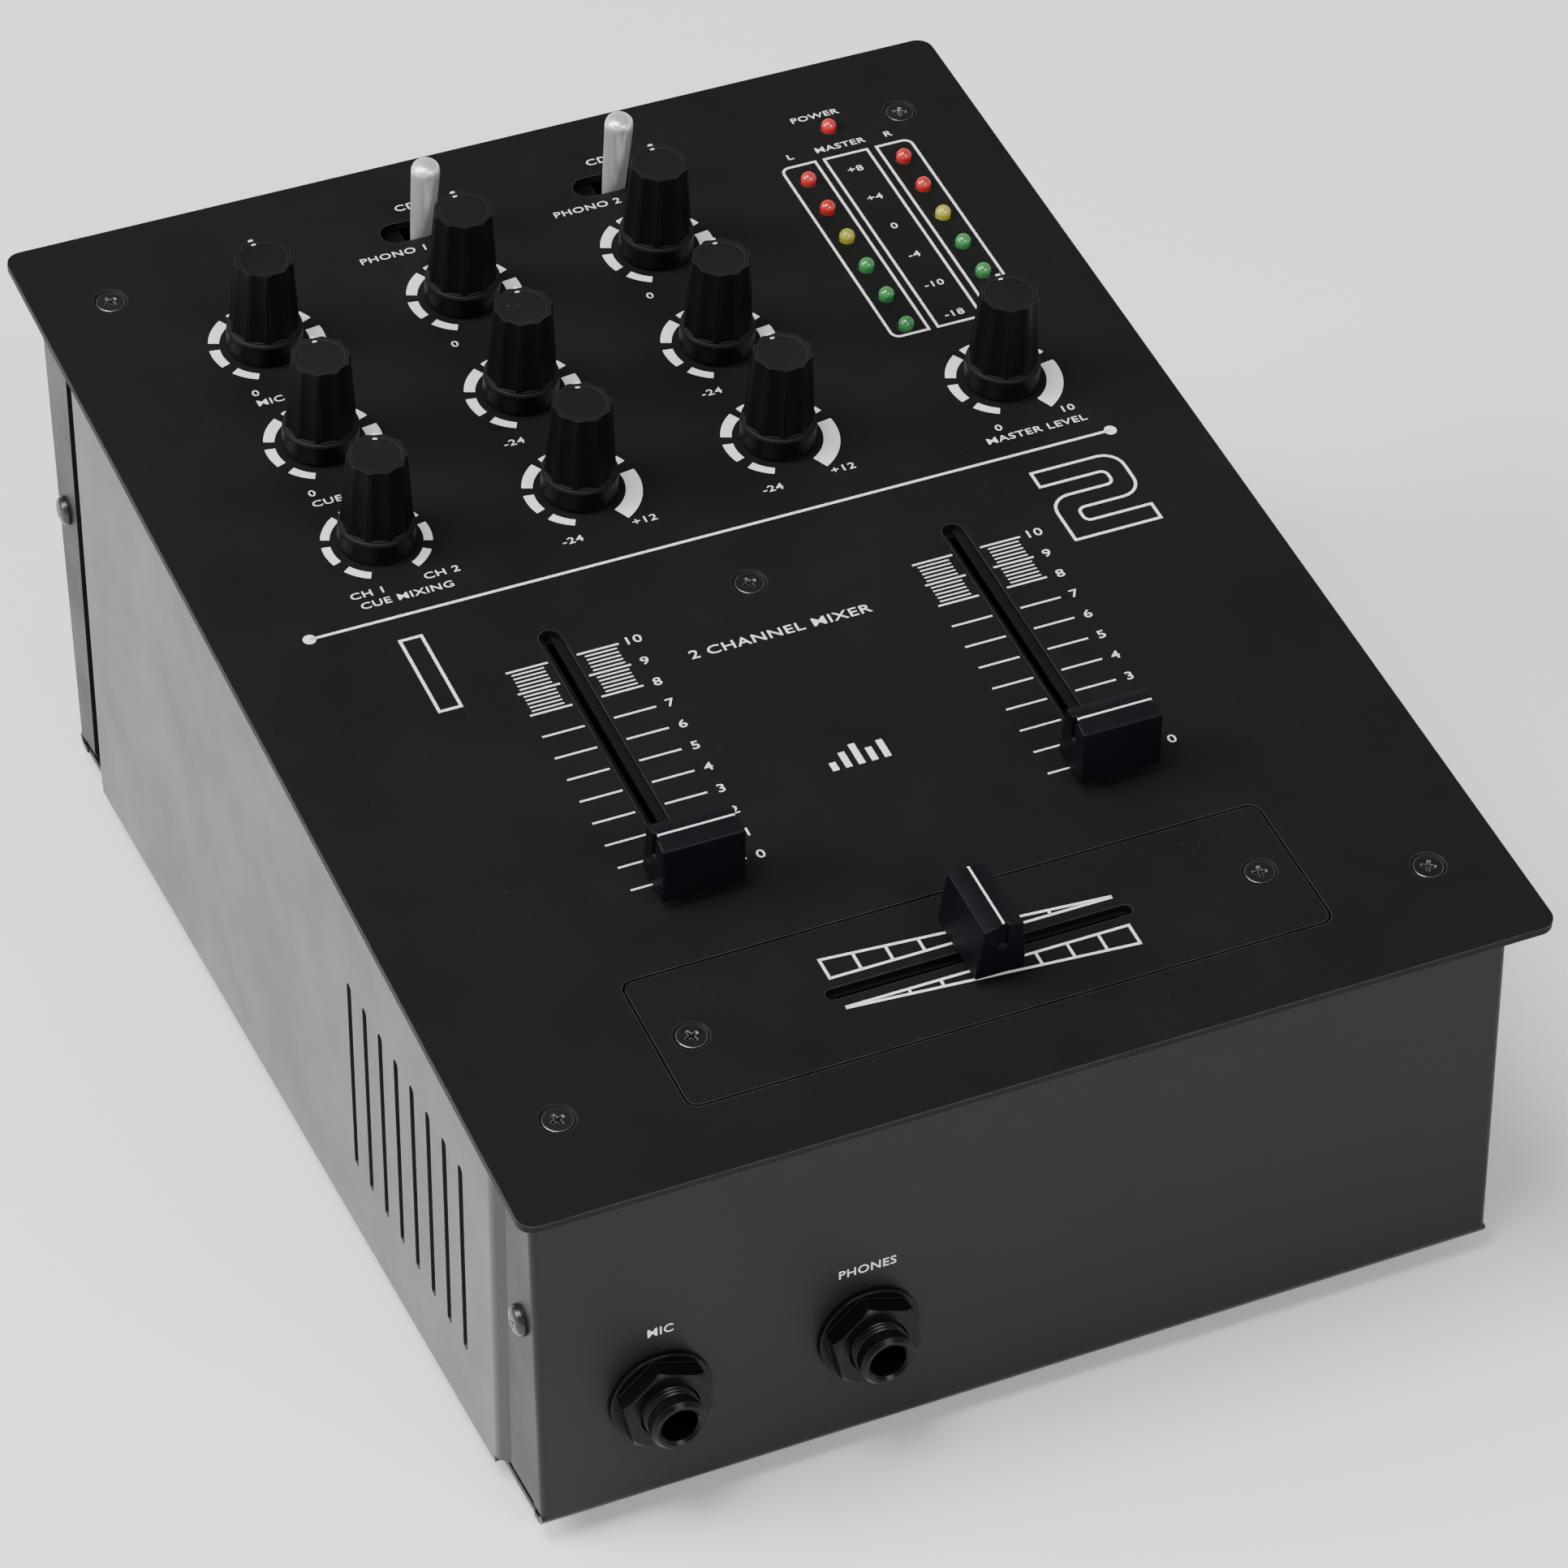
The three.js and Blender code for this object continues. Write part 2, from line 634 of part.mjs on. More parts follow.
function faderCase(travel) {
  const half = (travel + FADER_CASE) / 2;
  const room = travel / 2 + CARRIAGE_HALF + 0.5;
  const slot = travel / 2 + 3;
  return join([block([-CASE_HALF, -half, CASE_LOW], [CASE_HALF, half, CASE_TOP])], [
    block([-CASE_HALF + WALL, -room, CASE_LOW + WALL], [CASE_HALF - WALL, room, CASE_TOP - WALL]),
    block([-1.2, -slot, CASE_TOP - 2], [1.2, slot, CASE_TOP + 1]),
  ]);
}

function faderCarriage() {
  const slider = block(
    [-CASE_HALF + WALL + GAP, -CARRIAGE_HALF, CASE_LOW + WALL + GAP],
    [CASE_HALF - WALL - GAP, CARRIAGE_HALF, CASE_TOP - WALL - GAP],
  );
  return join([slider, block([-0.6, -2, CASE_TOP - 4], [0.6, 2, 9])]);
}

// The cap's long side lies across the travel; its top is two shallow facets with a ridge.
function faderCap() {
  const half = 7.7;
  const shape = outline([
    [-4.9, 2],
    [4.9, 2],
    [4.7, 4.6],
    [3.9, 11.8],
    [0, 12.6],
    [-3.9, 11.8],
    [-4.7, 4.6],
  ]);
  const socket = block([-0.9, -2.3, 1], [0.9, 2.3, 9.3]);
  return join([sideways(shape, -half, half)], [socket]);
}

function addFader(name, travel, place) {
  const [middle, carriageAt, turn] = place;
  const parts = [
    add(deck, `${name}_case`, faderCase(travel), pressedSteel()),
    add(deck, `${name}_carriage`, faderCarriage(), brightSteel()),
    add(deck, `${name}_cap`, faderCap(), capPlastic()),
  ];
  parts.forEach((mesh, i) => {
    const [u, v] = i === 0 ? middle : carriageAt;
    mesh.position.set(u, v, 0);
    mesh.rotation.z = turn;
  });
}
for (const [name, u] of Object.entries(FADER_COLUMNS)) {
  const places = [[u, FADER_START + FADER_TRAVEL / 2], [u, FADER_START], 0];
  addFader(`${name}_fader`, FADER_TRAVEL, places);
}
addFader("crossfader", CROSS_TRAVEL, [[0, CROSS_V], [0, CROSS_V], Math.PI / 2]);

// ---- Input switches: a bright bat lever pivoted in a case under the plate ----
function toggleCase() {
  const low = TOGGLE_PIVOT - 7;
  const box = block([-6.4, -6, low], [6.4, 6, CASE_TOP]);
  return join([box], [block([-3.4, -5.2, TOGGLE_PIVOT - 3.2], [3.4, 5.2, CASE_TOP + 1])]);
}

// The lever about its pivot, pointing straight out of the plate.
function toggleLever() {
  return turned([
    [0, -2.4],
    [2, -2],
    [2.7, 0],
    [2, 2],
    [2.2, 6],
    [2.65, 20.6],
    [2.6, 21.8],
    [2, 22.7],
    [1, 23],
    [0, 23],
  ], 14);
}
for (const [name, u] of Object.entries(TOGGLE_COLUMNS)) {
  const box = add(deck, `${name}_switch_case`, toggleCase(), blackNylon());
  box.position.set(u, TOGGLE_V, 0);
  const lever = add(deck, `${name}_switch_lever`, toggleLever(), brightSteel());
  lever.position.set(u, TOGGLE_V, TOGGLE_PIVOT);
  lever.rotation.x = TOGGLE_LEAN;
}

// ---- Front jacks: a threaded nylon barrel through the panel, held by a flanged nut ----
function jack() {
  const inside = PAN_FRONT + SHEET + GAP;
  const body = block([-8, inside, -7.5], [8, inside + 22, 7.5]);
  const barrel = toFront(turned([
    [0, -inside - 1],
    [JACK_BARREL, -inside - 1],
    [JACK_BARREL, JACK_NOSE - PAN_FRONT - 0.6],
    [JACK_BARREL - 0.6, JACK_NOSE - PAN_FRONT],
    [0, JACK_NOSE - PAN_FRONT],
  ]));
  const bore = toFront(rod(JACK_BORE, -inside - 18, 20));
  return join([body, barrel], [bore]);
}

function jackNut() {
  const washer = rod(9.1, 0.05, 1.1, 20);
  const hexagon = rod(15.8 / Math.sqrt(3), 1, 4.4, 6);
  const nut = join([washer, hexagon], [rod(JACK_BARREL + GAP, -1, 6)]);
  return toFront(nut).translate(0, PAN_FRONT, 0);
}
for (const [name, x] of Object.entries(JACK_X)) {
  add(mixer, `${name}_jack`, jack(), blackNylon()).position.set(x, 0, JACK_Z);
  add(mixer, `${name}_jack_nut`, jackNut(), blackNylon()).position.set(x, 0, JACK_Z);
}

// ---- Rear connectors: blocks of four phono sockets, the inlet and the ground terminal ----
function socketBlock() {
  const wall = PAN_REAR - SHEET - GAP;
  const half = SOCKET_SPACING / 2;
  const parts = [block([-14, wall - 13, -14], [14, wall, 14])];
  const bores = [];
  for (const [i, j] of [[-1, -1], [-1, 1], [1, -1], [1, 1]]) {
    const barrel = turned([
      [0, -3],
      [SOCKET_RADIUS, -3],
      [SOCKET_RADIUS, SOCKET_NOSE],
      [0, SOCKET_NOSE],
    ], 14);
    parts.push(toRear(barrel).translate(i * half, PAN_REAR, j * half));
    bores.push(toRear(rod(1.7, -4, SOCKET_NOSE + 1, 8)).translate(i * half, PAN_REAR, j * half));
  }
  return join(parts, bores);
}
for (const [name, x] of Object.entries(SOCKET_BLOCKS)) {
  add(mixer, `${name}_phono_sockets`, socketBlock(), nickel()).position.set(x, 0, SOCKET_Z);
}

function rearBoard() {
  const front = PAN_REAR - SHEET - GAP - 13 - GAP;
  return block([-62, front - BOARD, SOCKET_Z - 18], [46, front, SOCKET_Z + 20]);
}
add(mixer, "rear_board", rearBoard(), boardGreen());

function powerInlet() {
  const inside = PAN_REAR - SHEET - GAP;
  const body = block([-6, inside - 12, -6], [6, inside, 6]);
  const nose = toRear(rod(4, -2, 1.5)).translate(0, PAN_REAR, 0);
  const well = toRear(rod(3, -9, 3)).translate(0, PAN_REAR, 0);
  const pin = toRear(rod(1, -9.5, 0.6, 8)).translate(0, PAN_REAR, 0);
  return join([geometryOf(solid(join([body, nose], [well]))), pin]);
}
add(mixer, "power_inlet", powerInlet(), blackNylon()).position.set(INLET[0], 0, INLET[1]);

function rockerFrame() {
  const bezel = block([-8, PAN_REAR + 0.05, -11.5], [8, PAN_REAR + 1.8, 11.5]);
  const box = block([-6.5, PAN_REAR - 17, -9.5], [6.5, PAN_REAR + 1, 9.5]);
  const well = block([-5.5, PAN_REAR - 9, -8.6], [5.5, PAN_REAR + 3, 8.6]);
  return join([bezel, box], [well]);
}
add(mixer, "power_switch_frame", rockerFrame(), blackNylon()).position.set(ROCKER[0], 0, ROCKER[1]);

const ROCKER_TILT = 0.17;
function rockerPaddle() {
  const shape = outline([
    [-4, -2],
    [0.4, -7.8],
    [2.9, -7.6],
    [1.7, 0],
    [2.9, 7.6],
    [0.4, 7.8],
    [-4, 2],
  ]);
  return sideways(shape, -5, 5);
}
const paddle = add(mixer, "power_switch_rocker", rockerPaddle(), blackNylon());
paddle.position.set(ROCKER[0], PAN_REAR - 0.6, ROCKER[1]);
paddle.rotation.x = ROCKER_TILT;

function groundPost() {
  const post = turned([
    [0, -8],
    [2, -8],
    [2, 11],
    [1.5, 11.5],
    [0, 11.5],
  ], 12);
  const collar = rod(3.4, 0.05, 1.2, 6);
  return join([toRear(post), toRear(collar)]);
}
add(mixer, "ground_post", groundPost(), nickel()).position.set(GROUND[0], PAN_REAR, GROUND[1]);

function groundNut() {
  const body = turned([[2.3, 2.2], [5, 2.2], [5, 7], [4.4, 7.6], [2.3, 7.6], [2.3, 2.2]], 14);
  return toRear(body);
}
add(mixer, "ground_nut", groundNut(), nickel()).position.set(GROUND[0], PAN_REAR, GROUND[1]);

// ---- The origin: the middle of the whole box's footprint, under the feet ----
const frontmost = PAN_FRONT - JACK_NOSE;
const rearmost = PAN_REAR + 11.5;
mixer.position.set(0, -(frontmost + rearmost) / 2, FOOT_HEIGHT);

export default mixer;
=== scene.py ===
"""A two-channel DJ mixer: a folded steel case, a sloping printed top plate and its controls.

Every piece is modelled in millimetres, either in the case's own axes (from the top plate's front
edge and the case's bottom) or in the top plate's (across, up the slope, out of the plate), and
is scaled to metres when it is put in its place in the frame."""
import json
import math

import bpy
from mathutils import Matrix, Vector


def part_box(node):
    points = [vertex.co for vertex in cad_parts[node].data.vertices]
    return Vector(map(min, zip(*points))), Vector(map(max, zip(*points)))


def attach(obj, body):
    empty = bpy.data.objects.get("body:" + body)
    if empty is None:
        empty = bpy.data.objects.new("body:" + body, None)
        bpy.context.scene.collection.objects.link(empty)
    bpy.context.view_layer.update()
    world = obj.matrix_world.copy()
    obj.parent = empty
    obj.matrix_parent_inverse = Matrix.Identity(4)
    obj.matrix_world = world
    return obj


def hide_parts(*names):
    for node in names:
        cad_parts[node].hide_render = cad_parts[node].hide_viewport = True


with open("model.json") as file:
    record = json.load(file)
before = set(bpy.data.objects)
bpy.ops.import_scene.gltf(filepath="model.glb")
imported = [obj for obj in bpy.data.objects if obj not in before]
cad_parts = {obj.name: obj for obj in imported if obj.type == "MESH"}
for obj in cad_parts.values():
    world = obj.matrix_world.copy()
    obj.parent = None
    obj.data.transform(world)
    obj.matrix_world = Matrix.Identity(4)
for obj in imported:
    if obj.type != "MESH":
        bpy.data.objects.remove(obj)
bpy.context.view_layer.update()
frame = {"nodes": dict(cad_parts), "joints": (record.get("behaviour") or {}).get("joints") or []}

bpy.ops.object.select_all(action="DESELECT")

# ---------------------------------------------------------------------------------------------
# Floor, lights and camera. A pale studio floor that the case's sides mirror, soft boxes above and
# to the sides, and air that is bright at the horizon and dim overhead, as in a tall room.
# ---------------------------------------------------------------------------------------------
def new_material(name):
    """A material, its Principled shader and the coordinates of the object it is on."""
    material = bpy.data.materials.new(name)
    material.use_nodes = True
    shader = material.node_tree.nodes["Principled BSDF"]
    coordinates = material.node_tree.nodes.new("ShaderNodeTexCoord")
    return material, shader, coordinates.outputs["Object"]


def floor_finish():
    material, shader, place = new_material("studio_floor")
    tree = material.node_tree
    noise = tree.nodes.new("ShaderNodeTexNoise")
    noise.inputs["Scale"].default_value = 6
    ramp = tree.nodes.new("ShaderNodeValToRGB")
    ramp.color_ramp.elements[0].color = (0.92, 0.92, 0.92, 1)
    ramp.color_ramp.elements[1].color = (0.95, 0.95, 0.95, 1)
    tree.links.new(place, noise.inputs["Vector"])
    tree.links.new(noise.outputs["Fac"], ramp.inputs["Fac"])
    tree.links.new(ramp.outputs["Color"], shader.inputs["Base Color"])
    shader.inputs["Roughness"].default_value = 0.7
    return material


bpy.ops.mesh.primitive_plane_add(size=8, location=(0, 0, 0))
floor = bpy.context.object
floor.name = "studio_floor"
floor.data.materials.append(floor_finish())


def soft_box(name, location, width, height, power, aim=(0, 0, 0.05)):
    bpy.ops.object.light_add(type="AREA", location=location)
    lamp = bpy.context.object
    lamp.name = name
    lamp.data.shape = "RECTANGLE"
    lamp.data.size = width
    lamp.data.size_y = height
    lamp.data.energy = power
    lamp.rotation_euler = (Vector(aim) - lamp.location).to_track_quat("-Z", "Y").to_euler()


soft_box("left_soft_box", (-1.6, 0.3, 1.1), 0.9, 0.9, 40)
soft_box("front_soft_box", (0.5, -1.7, 1.3), 0.9, 0.6, 26)
soft_box("overhead_soft_box", (-0.7, -0.2, 2.0), 1.2, 1.0, 50)


def studio_air():
    world = bpy.data.worlds.new("studio_air")
    world.use_nodes = True
    tree = world.node_tree
    direction = tree.nodes.new("ShaderNodeTexCoord")
    split = tree.nodes.new("ShaderNodeSeparateXYZ")
    fall = tree.nodes.new("ShaderNodeMapRange")
    fall.inputs["From Min"].default_value = 0.15
    fall.inputs["From Max"].default_value = 0.75
    fall.inputs["To Min"].default_value = 0.95
    fall.inputs["To Max"].default_value = 0.1
    tree.links.new(direction.outputs["Generated"], split.inputs["Vector"])
    tree.links.new(split.outputs["Z"], fall.inputs["Value"])
    background = tree.nodes["Background"]
    background.inputs["Color"].default_value = (1, 1, 1, 1)
    tree.links.new(fall.outputs["Result"], background.inputs["Strength"])
    return world


bpy.context.scene.world = studio_air()

CAMERA_PLACE = (-0.3446, -0.8154, 0.7274)
CAMERA_TURN = (52.4605, 0.5362, -23.8164)  # degrees
bpy.ops.object.camera_add(location=CAMERA_PLACE)
camera = bpy.context.object
camera.rotation_euler = [math.radians(angle) for angle in CAMERA_TURN]
camera.data.sensor_width = 36
camera.data.lens = 143.44
bpy.context.scene.camera = camera
bpy.ops.object.select_all(action="DESELECT")

# ---------------------------------------------------------------------------------------------
# Chassis pan. Front, bottom and rear are one sheet of 1.2 mm steel, folded up at the ends, with
# flanges turned back along the sides and lips under the top plate. It is painted satin black.
# ---------------------------------------------------------------------------------------------
slide = next(joint for joint in frame["joints"] if joint["name"] == "channel_1_fader_slide")
SLOPE = math.atan2(slide["axis"][2], slide["axis"][1])
PLATE_THICK = 1.5
GAP = 0.3
SHEET = 1.2
pan_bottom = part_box("chassis_pan")[0].z
plate_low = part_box("top_plate")[0]
front_edge = Vector((0, plate_low.y, plate_low.z + PLATE_THICK * math.cos(SLOPE) / 1000))
MILLIMETRES = Matrix.Scale(0.001, 4)
CASE = Matrix.Translation((0, front_edge.y, pan_bottom)) @ MILLIMETRES
DECK = Matrix.Translation(front_edge) @ Matrix.Rotation(SLOPE, 4, "X") @ MILLIMETRES
IN_DECK = CASE.inverted() @ DECK  # from the top plate's axes to the case's

PAN_HALF = 88.1
PAN_FRONT = 8.5
PAN_REAR = 244.9
PAN_BEND = 2.7
FLANGE = 11.5
LEAN = 0.048  # seams and slots stand forward by this much for each mm above LEAN_FROM
LEAN_FROM = 50
JACK_X = {"mic": -66.8, "phones": -29.5}
JACK_Z = 22.6
JACK_BARREL = 4.9
SOCKET_X = {"output": -44, "channel_2": -8, "channel_1": 28}
SOCKET_Z = 46
SOCKET_PITCH = 14
SOCKET_RADIUS = 4.15
INLET = (68, 34)
ROCKER = (68, 64)
GROUND = (47, 74)


def under_plate(y):
    """The height of the plate's underside, less the gap, at a place along the case."""
    front_top = (front_edge.z - pan_bottom) * 1000
    return front_top + y * math.tan(SLOPE) - (PLATE_THICK + GAP) / math.cos(SLOPE)


def new_group(name, inputs, outputs):
    """An empty shader node group with named sockets, its input node and its output node."""
    group = bpy.data.node_groups.new(name, "ShaderNodeTree")
    for label, kind, value in inputs:
        socket = group.interface.new_socket(label, in_out="INPUT", socket_type=kind)
        if value is not None:
            socket.default_value = value
    for label, kind in outputs:
        group.interface.new_socket(label, in_out="OUTPUT", socket_type=kind)
    return group, group.nodes.new("NodeGroupInput"), group.nodes.new("NodeGroupOutput")


def math_node(tree, operation, first, second=0.5, clamp=False):
    """A math node fed by two sockets or numbers."""
    node = tree.nodes.new("ShaderNodeMath")
    node.operation = operation
    node.use_clamp = clamp
    for socket, value in zip(node.inputs, (first, second)):
        if isinstance(value, bpy.types.NodeSocket):
            tree.links.new(value, socket)
        else:
            socket.default_value = value
    return node.outputs[0]


def surface_grain_group():
    """Fine even orange peel, as on powder coat or textured plastic, with a slow mottle."""
    group, given, result = new_group(
        "surface_grain",
        [("Vector", "NodeSocketVector", None), ("Grain Scale", "NodeSocketFloat", 2500.0)],
        [("Height", "NodeSocketFloat"), ("Mottle", "NodeSocketFloat")],
    )
    fine = group.nodes.new("ShaderNodeTexNoise")
    fine.inputs["Detail"].default_value = 2
    fine.inputs["Roughness"].default_value = 0.6
    slow = group.nodes.new("ShaderNodeTexNoise")
    slow.inputs["Scale"].default_value = 60
    slow.inputs["Detail"].default_value = 5
    group.links.new(given.outputs["Vector"], fine.inputs["Vector"])
    group.links.new(given.outputs["Grain Scale"], fine.inputs["Scale"])
    group.links.new(given.outputs["Vector"], slow.inputs["Vector"])
    group.links.new(fine.outputs["Fac"], result.inputs["Height"])
    group.links.new(slow.outputs["Fac"], result.inputs["Mottle"])
    return group


def edge_wear_group():
    """A mask that is white along edges, broken up by noise as handling breaks up a finish; on the top
    plates and the screws it also paints an edge highlight.
    """
    group, given, result = new_group(
        "edge_light_and_wear",
        [
            ("Vector", "NodeSocketVector", None),
            ("Width", "NodeSocketFloat", 0.0003),
            ("Amount", "NodeSocketFloat", 0.5),
        ],
        [("Mask", "NodeSocketFloat")],
    )
    rounded = group.nodes.new("ShaderNodeBevel")
    rounded.samples = 4
    geometry = group.nodes.new("ShaderNodeNewGeometry")
    alike = group.nodes.new("ShaderNodeVectorMath")
    alike.operation = "DOT_PRODUCT"
    breakup = group.nodes.new("ShaderNodeTexNoise")
    breakup.inputs["Scale"].default_value = 180
    breakup.inputs["Detail"].default_value = 6
    group.links.new(given.outputs["Width"], rounded.inputs["Radius"])
    group.links.new(rounded.outputs["Normal"], alike.inputs[0])
    group.links.new(geometry.outputs["Normal"], alike.inputs[1])
    group.links.new(given.outputs["Vector"], breakup.inputs["Vector"])
    edge = math_node(group, "SUBTRACT", 1.0, alike.outputs["Value"])
    edge = math_node(group, "MULTIPLY", edge, 5.0, clamp=True)
    broken = math_node(group, "MULTIPLY", breakup.outputs["Fac"], 1.5, clamp=True)
    edge_highlight_and_wear = math_node(group, "MULTIPLY", edge, broken)
    mask = math_node(group, "MULTIPLY", edge_highlight_and_wear, given.outputs["Amount"], clamp=True)
    group.links.new(mask, result.inputs["Mask"])
    return group


def settled_dust_group():
    """A thin film and sparse specks of dust on whatever faces up."""
    group, given, result = new_group(
        "settled_dust",
        [("Vector", "NodeSocketVector", None), ("Amount", "NodeSocketFloat", 0.05)],
        [("Mask", "NodeSocketFloat")],
    )
    geometry = group.nodes.new("ShaderNodeNewGeometry")
    split = group.nodes.new("ShaderNodeSeparateXYZ")
    film = group.nodes.new("ShaderNodeTexNoise")
    film.inputs["Scale"].default_value = 25
    film.inputs["Detail"].default_value = 8
    specks = group.nodes.new("ShaderNodeTexVoronoi")
    specks.inputs["Scale"].default_value = 420
    group.links.new(geometry.outputs["Normal"], split.inputs["Vector"])
    group.links.new(given.outputs["Vector"], film.inputs["Vector"])
    group.links.new(given.outputs["Vector"], specks.inputs["Vector"])
    dots = math_node(group, "LESS_THAN", specks.outputs["Distance"], 0.09)
    dots = math_node(group, "MULTIPLY", dots, math_node(group, "GREATER_THAN",
                                                        film.outputs["Fac"], 0.56))
    both = math_node(group, "ADD", film.outputs["Fac"], math_node(group, "MULTIPLY", dots, 4.0))
    up = math_node(group, "MULTIPLY", split.outputs["Z"], 1.0, clamp=True)
    mask = math_node(group, "MULTIPLY", math_node(group, "MULTIPLY", both, up),
                     given.outputs["Amount"], clamp=True)
    group.links.new(mask, result.inputs["Mask"])
    return group


SURFACE_GRAIN = surface_grain_group()
EDGE_LIGHT_AND_WEAR = edge_wear_group()
SETTLED_DUST = settled_dust_group()
DUST_COLOUR = (0.3, 0.29, 0.27)


def use_group(tree, group, place, **values):
    """Places a node group in a material, fed by the coordinates and its own values."""
    node = tree.nodes.new("ShaderNodeGroup")
    node.node_tree = group
    tree.links.new(place, node.inputs["Vector"])
    for label, value in values.items():
        node.inputs[label.replace("_", " ")].default_value = value
    return node


def blended(tree, factor, first, second):
    """A colour between two colours or colour sockets."""
    node = tree.nodes.new("ShaderNodeMix")
    node.data_type = "RGBA"
    tree.links.new(factor, node.inputs["Factor"])
    for label, value in (("A", first), ("B", second)):
        socket = next(s for s in node.inputs if s.name == label and s.type == "RGBA")
        if isinstance(value, bpy.types.NodeSocket):
            tree.links.new(value, socket)
        else:
            socket.default_value = (*value, 1)
    return next(s for s in node.outputs if s.type == "RGBA")


def ranged(tree, value, low, high):
    """A number that goes from low to high as the value goes from 0.3 to 0.7."""
    node = tree.nodes.new("ShaderNodeMapRange")
    node.inputs["From Min"].default_value = 0.3
    node.inputs["From Max"].default_value = 0.7
    node.inputs["To Min"].default_value = low
    node.inputs["To Max"].default_value = high
    tree.links.new(value, node.inputs["Value"])
    return node.outputs["Result"]


def bumped(tree, shader, height, strength, distance=0.0002):
    bump = tree.nodes.new("ShaderNodeBump")
    bump.inputs["Strength"].default_value = strength
    bump.inputs["Distance"].default_value = distance
    tree.links.new(height, bump.inputs["Height"])
    tree.links.new(bump.outputs["Normal"], shader.inputs["Normal"])


def coated(name, tones, roughness, grain=2500, bump=0.1, highlight_and_wear=0.2, highlight_and_wear_tone=(0.3, 0.3, 0.3),
           dust=0.02, metallic=0.0, ior=1.5):
    """A paint, plating or moulded plastic: two tones that mottle slowly, a fine grain in the
    surface, a paler edge that is worn and on some finishes a painted highlight, and a little dust on
    top."""
    material, shader, place = new_material(name)
    tree = material.node_tree
    surface = use_group(tree, SURFACE_GRAIN, place, Grain_Scale=grain)
    edge_highlight_and_wear = use_group(tree, EDGE_LIGHT_AND_WEAR, place, Amount=highlight_and_wear)
    dusty = use_group(tree, SETTLED_DUST, place, Amount=dust)
    colour = blended(tree, surface.outputs["Mottle"], *tones)
    colour = blended(tree, edge_highlight_and_wear.outputs["Mask"], colour, highlight_and_wear_tone)
    colour = blended(tree, dusty.outputs["Mask"], colour, DUST_COLOUR)
    gloss = ranged(tree, surface.outputs["Mottle"], *roughness)
    tree.links.new(colour, shader.inputs["Base Color"])
    tree.links.new(gloss, shader.inputs["Roughness"])
    shader.inputs["Metallic"].default_value = metallic
    shader.inputs["IOR"].default_value = ior
    bumped(tree, shader, surface.outputs["Height"], bump)
    return material


def only(piece):
    """Makes a piece the only selected one and the active one."""
    bpy.ops.object.select_all(action="DESELECT")
    piece.select_set(True)
    bpy.context.view_layer.objects.active = piece
    return piece


def choose(piece, kind, test):
    """In edit mode, selects every VERT, EDGE or FACE all of whose corners pass a test."""
    if bpy.context.mode == "EDIT_MESH":
        bpy.ops.object.mode_set(mode="OBJECT")
    only(piece)
    bpy.ops.object.mode_set(mode="EDIT")
    bpy.ops.mesh.select_mode(type=kind)
    bpy.ops.mesh.select_all(action="DESELECT")
    bpy.ops.object.mode_set(mode="OBJECT")
    mesh = piece.data
    passed = [bool(test(*vertex.co)) for vertex in mesh.vertices]
    if kind == "VERT":
        for vertex, ok in zip(mesh.vertices, passed):
            vertex.select = ok
    else:
        for part in mesh.edges if kind == "EDGE" else mesh.polygons:
            part.select = all(passed[i] for i in part.vertices)
    bpy.ops.object.mode_set(mode="EDIT")


def near(a, b):
    return abs(a - b) < 0.01


def extruded(x=0, y=0, z=0):
    bpy.ops.mesh.extrude_region_move(TRANSFORM_OT_translate={"value": (x, y, z)})


def block(low, high):
    """A cube primitive, sized and placed between two corners."""
    bpy.ops.mesh.primitive_cube_add(size=1, location=[(a + b) / 2 for a, b in zip(low, high)],
                                    scale=[b - a for a, b in zip(low, high)])
    cube = bpy.context.object
    bpy.ops.object.transform_apply(location=True, rotation=True, scale=True)
    return cube


def turned(profile, segments=32):
    """A piece turned about Z: a disc at the profile's first radius and height is extruded and
    resized ring by ring, up to the last ring, which closes it."""
    (radius, height), *rest = profile
    bpy.ops.mesh.primitive_circle_add(vertices=segments, radius=radius, fill_type="NGON",
                                      location=(0, 0, height))
    piece = bpy.context.object
    bpy.ops.object.transform_apply(location=True, rotation=True, scale=True)
    bpy.ops.object.mode_set(mode="EDIT")
    bpy.ops.mesh.select_all(action="SELECT")
    for new_radius, new_height in rest:
        extruded(z=new_height - height)
        factor = new_radius / radius
        bpy.ops.transform.resize(value=(factor, factor, 1), center_override=(0, 0, new_height))
        radius, height = new_radius, new_height
    bpy.ops.mesh.select_all(action="SELECT")
    bpy.ops.mesh.normals_make_consistent(inside=False)
    bpy.ops.object.mode_set(mode="OBJECT")
    return piece


def rod(radius, low, high, segments=32):
    return turned([(radius, low), (radius, high)], segments)


TO_FRONT = Matrix.Rotation(math.pi / 2, 4, "X")  # what pointed up then points to the front
TO_REAR = Matrix.Rotation(-math.pi / 2, 4, "X")
TO_RIGHT = Matrix.Rotation(math.pi / 2, 4, "Y")
TO_LEFT = Matrix.Rotation(-math.pi / 2, 4, "Y")


def placed(piece, x=0, y=0, z=0, turn=Matrix()):
    """Turns a piece, moves it and keeps its place in its mesh."""
    only(piece)
    piece.matrix_world = Matrix.Translation((x, y, z)) @ turn
    bpy.ops.object.transform_apply(location=True, rotation=True, scale=True)
    return piece


def joined(pieces):
    only(pieces[0])
    for piece in pieces[1:]:
        piece.select_set(True)
    if len(pieces) > 1:
        bpy.ops.object.join()
    return pieces[0]


def applied(piece, kind, **settings):
    """Adds a modifier with its settings, and applies it."""
    only(piece)
    modifier = piece.modifiers.new("finish", kind)
    for name, value in settings.items():
        setattr(modifier, name, value)
    bpy.ops.object.modifier_apply(modifier=modifier.name)
    return piece


def cut(piece, cutters, operation="DIFFERENCE"):
    """Cuts pieces that don't touch each other out of a piece, and removes them."""
    cutter = joined(cutters)
    applied(piece, "BOOLEAN", operation=operation, solver="EXACT", object=cutter)
    bpy.data.objects.remove(cutter)
    return piece


